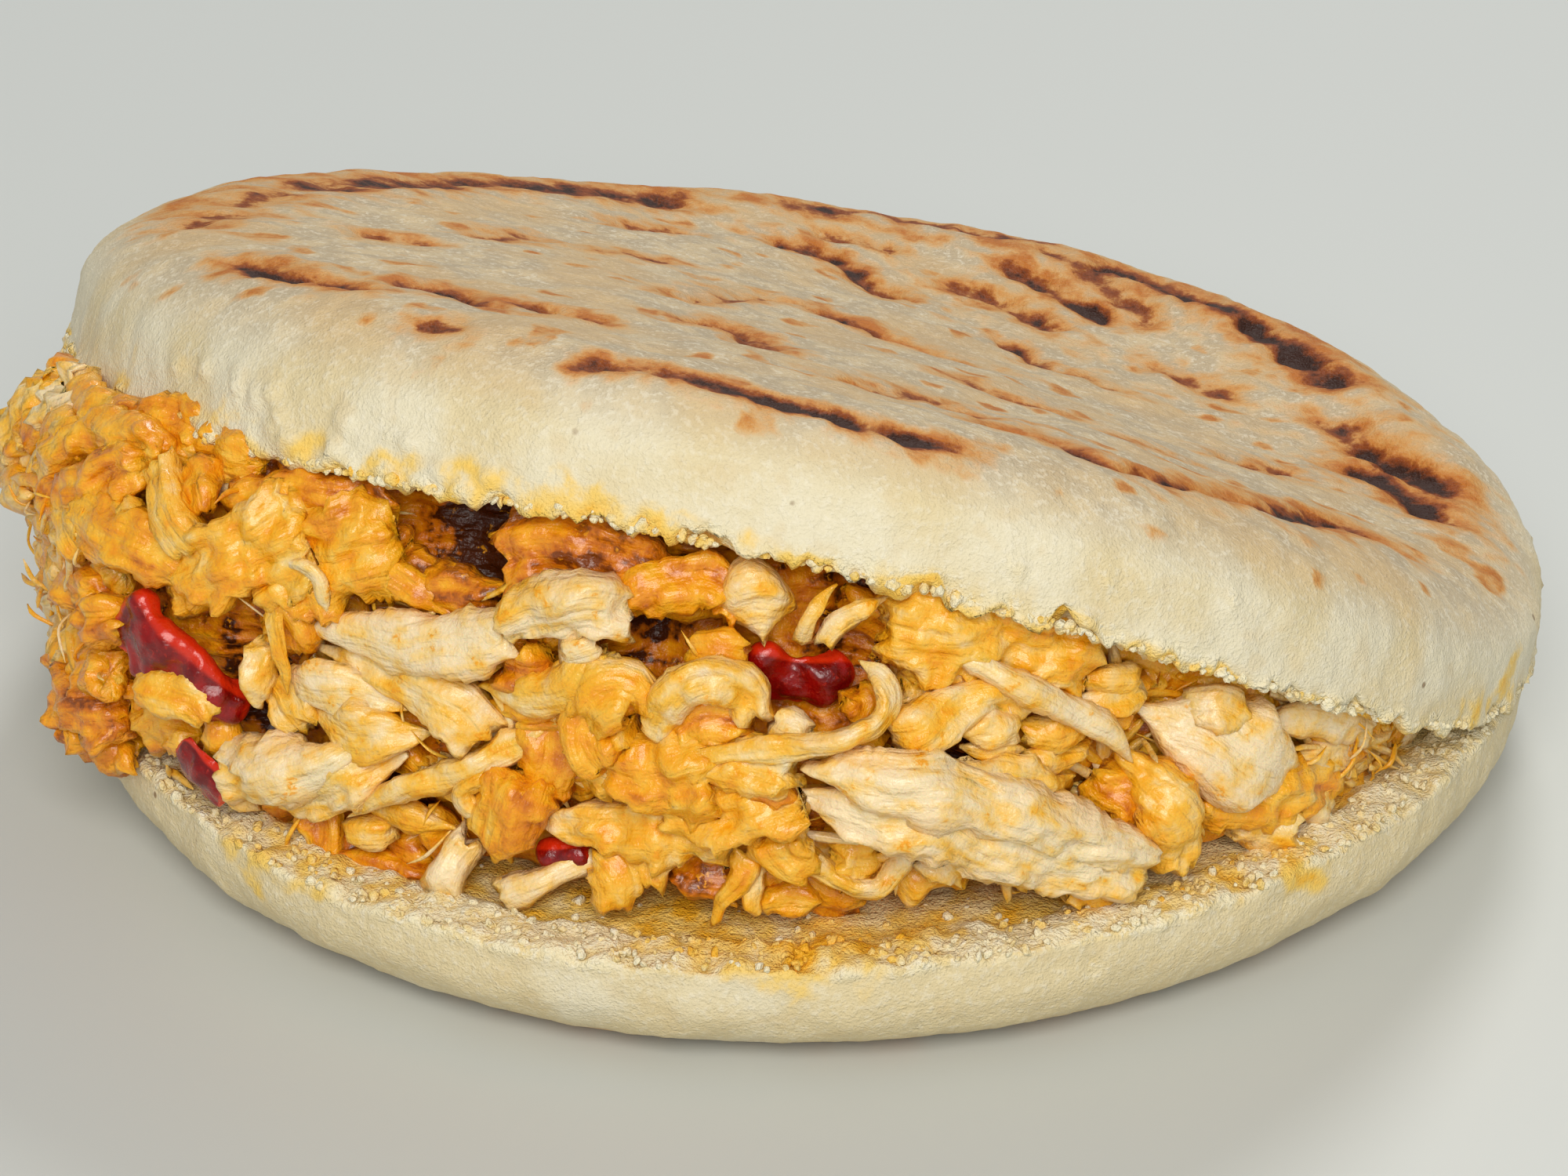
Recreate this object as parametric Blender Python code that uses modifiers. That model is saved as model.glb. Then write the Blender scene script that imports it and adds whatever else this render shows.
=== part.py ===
"""A griddled corn cake, slit open at the front and stuffed with shredded chicken and red pepper.

Millimetres throughout, scaled to metres at the end of each mesh. +Z is up, -Y is the open
front, and the origin is the centre of the flat underside. The slit's hinge is at +X +Y.
"""

import math

import bpy
import numpy as np

MM = 0.001

# ---- the cake, before it is opened
RADIUS = 55.0
BASE_HEIGHT = 9.2  # the lower half, at its cut edge
LID_HEIGHT = 10.2  # the upper half, over the cut
FOOT_ROUND = 7.0  # rounding of the lower edge
FLAT_RADIUS = 40.0  # the flat underside
SHOULDER_RISE = 5.6  # rounding of the upper edge
SHOULDER_REACH = 9.8
TURN_STEPS = 56

# ---- how it is opened
HINGE_AZIMUTH = math.radians(50.9)  # direction from the middle to the hinge
HINGE_REACH = 27.8  # middle of the bend
HINGE_BEND = 18.0  # half the width of the bend
OPENING = math.radians(21.7)
LID_ARCH = 3.9  # how far the lid's ends droop at the radius
SLIT_END = 29.0  # where the two halves are still joined
JOIN_DEPTH = 1.6

# ---- the filling and its fit
FIT_GAP = 0.35  # between pieces that touch
HEAP_CENTRE = (-9.0, -9.0)
HEAP_LIMIT = 15.5  # how far towards the hinge it reaches
HEAP_STEPS = 44

# ---- the red pepper: middle, length, width, thickness, curl in degrees, and the turn
# about the upright, the lean back and the roll in its own plane
PEPPERS = {
    "red_pepper_1": ((-41.8, -35.4, 20.6), 10.6, 5.8, 1.9, 75, (-28, 8, -38)),
    "red_pepper_2": ((-40.6, -36.8, 12.7), 5.2, 4.4, 1.4, 20, (-45, 14, 28)),
    "red_pepper_3": ((0.5, -47.6, 27.0), 7.2, 4.2, 1.7, 40, (4, 12, 6)),
    "red_pepper_4": ((-15.0, -46.4, 12.3), 4.0, 2.6, 1.3, 30, (-14, 10, -16)),
}

HINGE_N = np.array([math.cos(HINGE_AZIMUTH), math.sin(HINGE_AZIMUTH)])
HINGE_T = np.array([-HINGE_N[1], HINGE_N[0]])


def smooth(x):
    x = np.clip(x, 0.0, 1.0)
    return x * x * (3 - 2 * x)


def waves(t, *pairs):
    """A sum of harmonics: the first pair is cos and sin of t, the next of 2t, and so on."""
    return sum(
        a * np.cos(n * t) + b * np.sin(n * t) for n, (a, b) in enumerate(pairs, start=1)
    )


# ---- the hand-shaped outline, and the two halves' faces


def outline(t):
    """How far out of round the cake is at angle t, as a share of its radius."""
    return 1 + waves(t, (0, -0.005), (0, -0.004), (0.011, 0.009))


def lid_reach(t):
    return outline(t) + 0.006 + waves(t, (-0.007, 0.007), (0.013, -0.005))


def base_cut(x, y):
    """Height of the lower half's cut face."""
    r, t = np.hypot(x, y) / RADIUS, np.arctan2(y, x)
    return BASE_HEIGHT + r**2 * waves(t, (0.2, -0.1), (0.1, -0.3))


def hinge_coords(x, y):
    return x * HINGE_N[0] + y * HINGE_N[1], x * HINGE_T[0] + y * HINGE_T[1]


def lid_cut(x, y):
    """Height over BASE_HEIGHT of the upper half's cut face, before the lid is opened."""
    r, t = np.hypot(x, y) / RADIUS, np.arctan2(y, x)
    u, _ = hinge_coords(x, y)
    torn = r**2 * waves(t, (0.5, 0.2), (0.1, -0.4), (0.2, 1.3))
    loose = 1 - smooth((u - 5) / 30)
    return torn * loose - JOIN_DEPTH * smooth((u - SLIT_END + 8) / 12)


def lid_top(x, y):
    """Height over BASE_HEIGHT of the griddled face, before the lid is opened."""
    r, t = np.hypot(x, y) / RADIUS, np.arctan2(y, x)
    u, _ = hinge_coords(x, y)
    loose = 1 - 0.2 * smooth((u - 5) / 40)
    return LID_HEIGHT + r**2 * waves(t, (-0.7, 0.4), (-1.6, -0.6)) * loose


def bend(u, h):
    """Opens the lid: from distance u towards the hinge and height h over the cut."""
    start, end = HINGE_REACH - HINGE_BEND, HINGE_REACH + HINGE_BEND
    table = np.linspace(-1.4 * RADIUS, 1.4 * RADIUS, 561)
    slope = OPENING * (1 - smooth((table - start) / (end - start)))
    step = table[1] - table[0]

    def from_end(values):
        mid = (values[1:] + values[:-1]) / 2 * step
        return np.concatenate([np.cumsum(mid[::-1])[::-1], [0.0]])

    along = table + from_end(1 - np.cos(slope))
    rise = from_end(np.sin(slope))
    m = np.interp(u, table, slope)
    return (
        np.interp(u, table, along) + h * np.sin(m),
        np.interp(u, table, rise) + h * np.cos(m),
    )


def open_lid(x, y, h):
    """Where a point of the upper half goes when the lid is opened."""
    u, s = hinge_coords(x, y)
    arch = LID_ARCH * (x / RADIUS) ** 2 * (1 - smooth((u - HINGE_REACH + 25) / 40))
    u2, h2 = bend(u, h - arch)
    return (
        u2 * HINGE_N[0] + s * HINGE_T[0],
        u2 * HINGE_N[1] + s * HINGE_T[1],
        BASE_HEIGHT + h2,
    )


def lid_under(x, y):
    """Height of the opened lid's cut face over the point (x, y)."""
    gx, gy = np.array(x, float), np.array(y, float)
    for _ in range(12):
        px, py, pz = open_lid(gx, gy, lid_cut(gx, gy))
        gx, gy = gx + (x - px), gy + (y - py)
    return pz


# ---- meshes


def turned(name, profile, steps, collection):
    """The profile, from its top middle down its outer side to its lower middle, turned about Z."""
    mesh = bpy.data.meshes.new(name)
    mesh.from_pydata(
        [(r * MM, 0, z * MM) for r, z in profile],
        [(i, i + 1) for i in range(len(profile) - 1)],
        [],
    )
    obj = bpy.data.objects.new(name, mesh)
    collection.objects.link(obj)
    screw = obj.modifiers.new("Turn", "SCREW")
    screw.axis = "Z"
    screw.angle = 2 * math.pi
    screw.steps = screw.render_steps = steps
    screw.use_merge_vertices = True
    screw.merge_threshold = 0.0001
    return obj


def applied(obj):
    """The object's modifiers made part of its mesh."""
    bpy.context.view_layer.update()
    graph = bpy.context.evaluated_depsgraph_get()
    mesh = bpy.data.meshes.new_from_object(obj.evaluated_get(graph))
    obj.modifiers.clear()
    obj.data = mesh
    return mesh


def reshape(obj, function):
    """Moves the mesh's points by a function of their millimetre coordinates."""
    mesh = obj.data
    points = np.empty(len(mesh.vertices) * 3)
    mesh.vertices.foreach_get("co", points)
    points = points.reshape(-1, 3) / MM
    moved = np.stack(function(*points.T), axis=-1) * MM
    mesh.vertices.foreach_set("co", moved.ravel())
    mesh.update()


def arc(centre_r, centre_z, reach, rise, first, last, count):
    """Points of a quarter round; angles in degrees from the top."""
    for k in range(count + 1):
        a = math.radians(first + (last - first) * k / count)
        yield centre_r + reach * math.sin(a), centre_z + rise * math.cos(a)


def base_profile():
    cut = [(RADIUS * k / 7, BASE_HEIGHT) for k in range(7)]
    rim = [(RADIUS - 0.5, BASE_HEIGHT), (RADIUS, BASE_HEIGHT - 0.7)]
    foot = [
        (r, z)
        for r, z in arc(RADIUS - 8, FOOT_ROUND, 8, FOOT_ROUND, 90, 180, 5)
    ]
    return cut + rim + foot + [(FLAT_RADIUS, 0), (FLAT_RADIUS / 2, 0), (0, 0)]


def lid_profile():
    """Heights here are shares: 0 is the cut face and 1 the griddled face."""
    inner = RADIUS - SHOULDER_REACH
    share = SHOULDER_RISE / LID_HEIGHT
    top = [(inner * k / 5, 1) for k in range(5)]
    shoulder = list(arc(inner, 1 - share, SHOULDER_REACH, share, 0, 90, 5))
    rim = [(RADIUS, 0.07), (RADIUS - 0.5, 0)]
    cut = [(RADIUS * k / 7, 0) for k in range(6, -1, -1)]
    return top + shoulder + rim + cut


def shape_base(x, y, z):
    t = np.arctan2(y, x)
    lift = (base_cut(x, y) - BASE_HEIGHT) * smooth(z / BASE_HEIGHT)
    return x * outline(t), y * outline(t), z + lift


def shape_lid(x, y, share):
    t = np.arctan2(y, x)
    low, high = lid_cut(x, y), lid_top(x, y)
    x, y = x * lid_reach(t), y * lid_reach(t)
    return open_lid(x, y, low + (high - low) * share)


def heap_limits(x, y):
    """The heights between which the filling lies at (x, y)."""
    r = np.hypot(x, y)
    inside = np.minimum(1, (RADIUS - 1.5) / np.maximum(r, 1e-6))
    cx, cy = x * inside, y * inside
    low, high = base_cut(cx, cy) + FIT_GAP, lid_under(cx, cy) - FIT_GAP
    return low, high


def heap_reach(t, side):
    """How far the heap reaches from its centre at angle t; side is 0 below, 1 at the lid."""
    cx, cy = HEAP_CENTRE
    dx, dy = np.cos(t), np.sin(t)
    # the rim, less the ledge that is left bare in front
    bare = 2.0 + 4.5 * smooth((np.cos(t + math.radians(75)) - 0.1) / 0.8)
    rim = RADIUS - bare
    along = cx * dx + cy * dy
    to_rim = -along + np.sqrt(along**2 + rim**2 - cx**2 - cy**2)
    toward = dx * HINGE_N[0] + dy * HINGE_N[1]
    here, _ = hinge_coords(cx, cy)
    to_limit = np.where(
        toward > 0.05, (HEAP_LIMIT - here) / np.maximum(toward, 0.05), 1e3
    )
    reach = (to_rim**-6.0 + to_limit**-6.0) ** (-1 / 6)
    free = smooth((0.75 - toward) / 0.9)
    belly = np.sin(math.pi * np.clip(side, 0, 1))
    left = np.exp(-(((np.mod(t, 2 * math.pi) - math.radians(192)) / 0.55) ** 2))
    lumps = 1.1 * np.sin(5 * t + 4 * side) + 0.9 * np.sin(9 * t - 3 * side + 1)
    high = np.exp(-(((side - 0.75) / 0.25) ** 2)) + 0.6 * np.exp(-(((side - 0.25) / 0.2) ** 2))
    return reach + free * (belly * (1.6 + lumps) + 4.2 * left * high - 2.0 * side)


def shape_heap(x, y, share):
    """share runs from 0 on the lower half to 1 under the lid."""
    rho, t = np.hypot(x, y), np.arctan2(y, x)
    reach = heap_reach(t, share) * rho
    px, py = HEAP_CENTRE[0] + reach * np.cos(t), HEAP_CENTRE[1] + reach * np.sin(t)
    low, high = heap_limits(px, py)
    return px, py, low + (high - low) * share


def heap_profile():
    top = [(k / 5, 1) for k in range(5)]
    side = [(1, 1 - k / 6) for k in range(7)]
    low = [(k / 5, 0) for k in range(4, -1, -1)]
    return top + side + low


def pepper(name, size, collection, grow=0.0):
    """A curled strip of pepper; grow thickens it all round, for the hollow it lies in."""
    middle, length, width, thickness, curl, (turn, lean, roll) = size
    columns, rows = 6, 4
    points, faces = [], []
    for j in range(rows + 1):
        v = 2 * j / rows - 1
        for i in range(columns + 1):
            w = 2 * i / columns - 1
            taper = (1 - 0.28 * w - 0.16 * w * w) * math.sqrt(1 - 0.35 * w * w)
            end = math.sqrt(1 - 0.3 * v * v)
            points.append(
                (w * (length / 2 + grow) * end, v * (width / 2 * taper + grow), 0)
            )
    for j in range(rows):
        for i in range(columns):
            a = j * (columns + 1) + i
            faces.append((a, a + 1, a + columns + 2, a + columns + 1))
    mesh = bpy.data.meshes.new(name)
    mesh.from_pydata([tuple(c * MM for c in p) for p in points], [], faces)
    obj = bpy.data.objects.new(name, mesh)
    collection.objects.link(obj)
    thick = obj.modifiers.new("Flesh", "SOLIDIFY")
    thick.thickness = (thickness + 2 * grow) * MM
    thick.offset = 0
    applied(obj)
    radius = length / math.radians(curl)
    turn, lean, roll = (math.radians(a) for a in (turn, lean, roll))

    def place(x, y, z):
        z = z + 0.07 * np.abs(y) ** 2 / width
        angle = x / radius
        x, z = (radius + z) * np.sin(angle), (radius + z) * np.cos(angle) - radius
        # stand it up facing -Y, then roll, lean and turn it
        x, up = x * np.cos(roll) - y * np.sin(roll), x * np.sin(roll) + y * np.cos(roll)
        out, up = (
            z * np.cos(lean) - up * np.sin(lean),
            z * np.sin(lean) + up * np.cos(lean),
        )
        x, y = x * np.cos(turn) + out * np.sin(turn), x * np.sin(turn) - out * np.cos(turn)
        return x + middle[0], y + middle[1], up + middle[2]

    reshape(obj, place)
    return obj


def colour(name, rgb, roughness):
    material = bpy.data.materials.new(name)
    material.use_nodes = True
    shader = material.node_tree.nodes["Principled BSDF"]
    shader.inputs["Base Color"].default_value = (*rgb, 1)
    shader.inputs["Roughness"].default_value = roughness
    return material


def main():
    for obj in list(bpy.data.objects):
        bpy.data.objects.remove(obj, do_unlink=True)
    parts = bpy.data.collections.new("stuffed_corn_cake")
    helpers = bpy.data.collections.new("cutters")
    for collection in (parts, helpers):
        bpy.context.scene.collection.children.link(collection)

    cake = turned("corn_cake", base_profile(), TURN_STEPS, parts)
    applied(cake)
    reshape(cake, shape_base)
    lid = turned("lid_half", [(r, z) for r, z in lid_profile()], TURN_STEPS, helpers)
    applied(lid)
    reshape(lid, shape_lid)
    lid.hide_render = True
    lid.display_type = "WIRE"
    join = cake.modifiers.new("Join at the hinge", "BOOLEAN")
    join.operation = "UNION"
    join.solver = "EXACT"
    join.object = lid
    cake.data.materials.clear()
    cake.data.materials.append(colour("corn_dough", (0.72, 0.60, 0.40), 0.8))

    heap = turned("chicken_filling", heap_profile(), HEAP_STEPS, parts)
    applied(heap)
    reshape(heap, shape_heap)
    heap.data.materials.clear()
    heap.data.materials.append(colour("shredded_chicken", (0.80, 0.48, 0.14), 0.45))

    red = colour("red_pepper", (0.42, 0.02, 0.02), 0.25)
    for name, size in PEPPERS.items():
        strip = pepper(name, size, parts)
        strip.data.materials.clear()
        strip.data.materials.append(red)
        hollow = pepper(name + "_hollow", size, helpers, FIT_GAP)
        hollow.hide_render = True
        hollow.display_type = "WIRE"
        cut = heap.modifiers.new("Hollow for " + name, "BOOLEAN")
        cut.operation = "DIFFERENCE"
        cut.solver = "EXACT"
        cut.object = hollow


main()
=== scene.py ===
"""Looks for a griddled corn cake, slit open and stuffed with shredded chicken and red pepper.

The CAD nodes are kept for collision. Every shown piece is built here at true size: the two
halves of the cake from the same profiles as the solids, with a griddled skin and a torn,
crumbly edge; the chicken as separate shreds laid over a smaller core; the pepper as strips.
Millimetres are used while a mesh is made, and it is scaled to metres at the end.
"""

import math

import bpy
import numpy as np
from mathutils import Matrix, Vector


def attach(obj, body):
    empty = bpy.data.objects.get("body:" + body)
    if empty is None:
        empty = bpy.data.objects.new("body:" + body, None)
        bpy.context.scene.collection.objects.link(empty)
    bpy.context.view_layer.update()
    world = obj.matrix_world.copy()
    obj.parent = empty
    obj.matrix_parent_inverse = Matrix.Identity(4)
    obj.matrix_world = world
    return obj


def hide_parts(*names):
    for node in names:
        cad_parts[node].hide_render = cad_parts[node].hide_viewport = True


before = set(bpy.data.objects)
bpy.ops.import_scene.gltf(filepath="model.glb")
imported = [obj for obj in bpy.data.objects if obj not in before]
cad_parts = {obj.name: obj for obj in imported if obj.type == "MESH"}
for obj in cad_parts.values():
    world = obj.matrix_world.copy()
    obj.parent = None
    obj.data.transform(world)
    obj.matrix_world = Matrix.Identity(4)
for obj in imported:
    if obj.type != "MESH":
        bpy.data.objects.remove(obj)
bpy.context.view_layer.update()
MM = 0.001

# ------------------------------------------------------------------ the cake's form
RADIUS = 55.0
BASE_HEIGHT = 9.2
LID_HEIGHT = 10.2
FOOT_ROUND = 7.0
FLAT_RADIUS = 40.0
SHOULDER_RISE = 5.6
SHOULDER_REACH = 9.8
HINGE_AZIMUTH = math.radians(50.9)
HINGE_REACH = 27.8
HINGE_BEND = 18.0
OPENING = math.radians(21.7)
LID_ARCH = 3.9
SLIT_END = 29.0
JOIN_DEPTH = 1.6
FIT_GAP = 0.35
HEAP_CENTRE = (-9.0, -9.0)
HEAP_LIMIT = 15.5

HINGE_N = np.array([math.cos(HINGE_AZIMUTH), math.sin(HINGE_AZIMUTH)])
HINGE_T = np.array([-HINGE_N[1], HINGE_N[0]])


def smooth(x):
    x = np.clip(x, 0.0, 1.0)
    return x * x * (3 - 2 * x)


def waves(t, *pairs):
    return sum(
        a * np.cos(n * t) + b * np.sin(n * t) for n, (a, b) in enumerate(pairs, start=1)
    )


def outline(t):
    return 1 + waves(t, (0, -0.005), (0, -0.004), (0.011, 0.009))


def lid_reach(t):
    return outline(t) + 0.006 + waves(t, (-0.007, 0.007), (0.013, -0.005))


def base_cut(x, y):
    r, t = np.hypot(x, y) / RADIUS, np.arctan2(y, x)
    return BASE_HEIGHT + r**2 * waves(t, (0.2, -0.1), (0.1, -0.3))


def hinge_coords(x, y):
    return x * HINGE_N[0] + y * HINGE_N[1], x * HINGE_T[0] + y * HINGE_T[1]


def lid_cut(x, y):
    r, t = np.hypot(x, y) / RADIUS, np.arctan2(y, x)
    u, _ = hinge_coords(x, y)
    torn = r**2 * waves(t, (0.5, 0.2), (0.1, -0.4), (0.2, 1.3))
    loose = 1 - smooth((u - 5) / 30)
    return torn * loose - JOIN_DEPTH * smooth((u - SLIT_END + 8) / 12)


def lid_top(x, y):
    r, t = np.hypot(x, y) / RADIUS, np.arctan2(y, x)
    u, _ = hinge_coords(x, y)
    loose = 1 - 0.2 * smooth((u - 5) / 40)
    return LID_HEIGHT + r**2 * waves(t, (-0.7, 0.4), (-1.6, -0.6)) * loose


BEND_TABLE = np.linspace(-1.4 * RADIUS, 1.4 * RADIUS, 561)
BEND_SLOPE = OPENING * (
    1 - smooth((BEND_TABLE - HINGE_REACH + HINGE_BEND) / (2 * HINGE_BEND))
)


def from_end(values):
    mid = (values[1:] + values[:-1]) / 2 * (BEND_TABLE[1] - BEND_TABLE[0])
    return np.concatenate([np.cumsum(mid[::-1])[::-1], [0.0]])


BEND_ALONG = BEND_TABLE + from_end(1 - np.cos(BEND_SLOPE))
BEND_RISE = from_end(np.sin(BEND_SLOPE))


def open_lid(x, y, h):
    """Where a point of the upper half goes when the lid is opened."""
    u, s = hinge_coords(x, y)
    arch = LID_ARCH * (x / RADIUS) ** 2 * (1 - smooth((u - HINGE_REACH + 25) / 40))
    m = np.interp(u, BEND_TABLE, BEND_SLOPE)
    u2 = np.interp(u, BEND_TABLE, BEND_ALONG) + (h - arch) * np.sin(m)
    h2 = np.interp(u, BEND_TABLE, BEND_RISE) + (h - arch) * np.cos(m)
    return (
        u2 * HINGE_N[0] + s * HINGE_T[0],
        u2 * HINGE_N[1] + s * HINGE_T[1],
        BASE_HEIGHT + h2,
    )


def lid_under(x, y):
    """Height of the opened lid's cut face over the point (x, y)."""
    gx, gy = np.array(x, float), np.array(y, float)
    for _ in range(12):
        px, py, pz = open_lid(gx, gy, lid_cut(gx, gy))
        gx, gy = gx + (x - px), gy + (y - py)
    return pz


def heap_limits(x, y):
    r = np.hypot(x, y)
    inside = np.minimum(1, (RADIUS - 1.5) / np.maximum(r, 1e-6))
    cx, cy = x * inside, y * inside
    return base_cut(cx, cy) + FIT_GAP, lid_under(cx, cy) - FIT_GAP


def heap_reach(t, side):
    """How far the heap reaches from its centre at angle t; side is 0 below, 1 at the lid."""
    cx, cy = HEAP_CENTRE
    dx, dy = np.cos(t), np.sin(t)
    bare = 2.0 + 4.5 * smooth((np.cos(t + math.radians(75)) - 0.1) / 0.8)
    rim = RADIUS - bare
    along = cx * dx + cy * dy
    to_rim = -along + np.sqrt(along**2 + rim**2 - cx**2 - cy**2)
    toward = dx * HINGE_N[0] + dy * HINGE_N[1]
    here, _ = hinge_coords(cx, cy)
    to_limit = np.where(
        toward > 0.05, (HEAP_LIMIT - here) / np.maximum(toward, 0.05), 1e3
    )
    reach = (to_rim**-6.0 + to_limit**-6.0) ** (-1 / 6)
    free = smooth((0.75 - toward) / 0.9)
    belly = np.sin(math.pi * np.clip(side, 0, 1))
    left = np.exp(-(((np.mod(t, 2 * math.pi) - math.radians(192)) / 0.55) ** 2))
    lumps = 1.1 * np.sin(5 * t + 4 * side) + 0.9 * np.sin(9 * t - 3 * side + 1)
    high = np.exp(-(((side - 0.75) / 0.25) ** 2))
    high = high + 0.6 * np.exp(-(((side - 0.25) / 0.2) ** 2))
    return reach + free * (belly * (1.6 + lumps) + 4.2 * left * high - 2.0 * side)


def heap_point(t, side, out=0.0):
    """A point of the filling's outer surface, moved outwards by `out`."""
    reach = heap_reach(t, side) + out
    x, y = HEAP_CENTRE[0] + reach * np.cos(t), HEAP_CENTRE[1] + reach * np.sin(t)
    low, high = heap_limits(x, y)
    return np.stack([x, y, low + (high - low) * side], -1)


# ------------------------------------------------------------------ noise and meshes
PERM = np.random.default_rng(11).permutation(256)
GRADS = np.random.default_rng(12).normal(size=(256, 3))
GRADS /= np.linalg.norm(GRADS, axis=1)[:, None]
SPOTS = np.random.default_rng(13).random((256, 3))


def hashed(i, j, k, seed):
    return PERM[(PERM[(PERM[(i + seed) & 255] + j) & 255] + k) & 255]


def noise(p, size, seed=0):
    """Smooth noise, about -1 to 1, with features as large as `size` (a number or three)."""
    q = np.asarray(p, float) / np.asarray(size, float) + 61.7
    i = np.floor(q).astype(int)
    f = q - i
    w = f * f * f * (f * (f * 6 - 15) + 10)
    total = np.zeros(len(q))
    for a in (0, 1):
        for b in (0, 1):
            for c in (0, 1):
                g = GRADS[hashed(i[:, 0] + a, i[:, 1] + b, i[:, 2] + c, seed)]
                d = (
                    (f[:, 0] - a) * g[:, 0]
                    + (f[:, 1] - b) * g[:, 1]
                    + (f[:, 2] - c) * g[:, 2]
                )
                share = (
                    (w[:, 0] if a else 1 - w[:, 0])
                    * (w[:, 1] if b else 1 - w[:, 1])
                    * (w[:, 2] if c else 1 - w[:, 2])
                )
                total += d * share
    return total * 1.7


def fbm(p, size, seed=0, octaves=3, keep=0.5):
    total, part = 0.0, 1.0
    for n in range(octaves):
        total = total + part * noise(p, np.asarray(size) / 2.03**n, seed + 7 * n)
        part *= keep
    return total


def grains(p, size, seed=0):
    """Rounded grains about `size` across: 1 at a grain's middle, 0 between grains."""
    q = np.asarray(p, float) / size + 31.3
    i = np.floor(q).astype(int)
    best = np.full(len(q), 9.0)
    for a in (-1, 0, 1):
        for b in (-1, 0, 1):
            for c in (-1, 0, 1):
                j = i + (a, b, c)
                spot = j + SPOTS[hashed(j[:, 0], j[:, 1], j[:, 2], seed)]
                best = np.minimum(best, ((q - spot) ** 2).sum(1))
    return np.clip(1 - np.sqrt(best) * 1.25, 0, 1)


def corner_normals(points, faces):
    """Area-weighted normals at the points of a mesh of quads and triangles."""
    total = np.zeros_like(points)
    for f in faces:
        if not len(f):
            continue
        if f.shape[1] == 4:
            n = np.cross(points[f[:, 2]] - points[f[:, 0]], points[f[:, 3]] - points[f[:, 1]])
        else:
            n = np.cross(points[f[:, 1]] - points[f[:, 0]], points[f[:, 2]] - points[f[:, 0]])
        for k in range(f.shape[1]):
            np.add.at(total, f[:, k], n)
    size = np.linalg.norm(total, axis=1)
    return total / np.maximum(size, 1e-12)[:, None]


def make_mesh(name, points, faces, material, attributes):
    """An object from points in millimetres, arrays of faces and numbers held at each point."""
    faces = [f for f in faces if len(f)]
    mesh = bpy.data.meshes.new(name)
    mesh.vertices.add(len(points))
    mesh.vertices.foreach_set("co", (points * MM).astype(np.float32).ravel())
    count = sum(len(f) for f in faces)
    loops = np.concatenate([f.ravel() for f in faces]).astype(np.int32)
    totals = np.concatenate([np.full(len(f), f.shape[1]) for f in faces])
    starts = np.concatenate([[0], np.cumsum(totals)[:-1]]).astype(np.int32)
    mesh.loops.add(len(loops))
    mesh.loops.foreach_set("vertex_index", loops)
    mesh.polygons.add(count)
    mesh.polygons.foreach_set("loop_start", starts)
    mesh.polygons.foreach_set("use_smooth", np.ones(count, bool))
    mesh.update(calc_edges=True)
    mesh.validate()
    for key, values in attributes.items():
        layer = mesh.attributes.new(key, "FLOAT", "POINT")
        layer.data.foreach_set("value", np.asarray(values, np.float32))
    mesh.materials.append(material)
    piece = bpy.data.objects.new(name, mesh)
    bpy.context.scene.collection.objects.link(piece)
    return piece


def curve_through(points, step):
    """Points every `step` along a smooth curve through the given ones, and the share along."""
    points = np.asarray(points, float)
    if len(points) == 2:
        points = np.array([points[0], (points[0] + points[1]) / 2, points[1]])
    ends = np.vstack([2 * points[0] - points[1], points, 2 * points[-1] - points[-2]])
    rows = []
    for k in range(len(points) - 1):
        a, b, c, d = ends[k : k + 4]
        u = np.linspace(0, 1, 16, endpoint=k == len(points) - 2)[:, None]
        rows.append(
            0.5
            * (
                2 * b
                + (c - a) * u
                + (2 * a - 5 * b + 4 * c - d) * u**2
                + (3 * b - a - 3 * c + d) * u**3
            )
        )
    fine = np.vstack(rows)
    knots = np.repeat(np.arange(len(points) - 1), 16)
    share = knots + np.concatenate(
        [np.arange(16) / 16 if k < len(points) - 2 else np.arange(16) / 15 for k in range(len(points) - 1)]
    )
    run = np.concatenate([[0], np.cumsum(np.linalg.norm(np.diff(fine, axis=0), axis=1))])
    count = max(6, int(math.ceil(run[-1] / step)) + 1)
    at = np.linspace(0, run[-1], count)
    line = np.stack([np.interp(at, run, fine[:, k]) for k in range(3)], -1)
    return line, np.interp(at, run, share), at


# ------------------------------------------------------------------ materials
def linear(r, g, b):
    """A colour given as it looks on a screen, 0 to 255."""
    made = []
    for c in (r, g, b):
        c = c / 255
        made.append(c / 12.92 if c <= 0.04045 else ((c + 0.055) / 1.055) ** 2.4)
    return (*made, 1.0)


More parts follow.
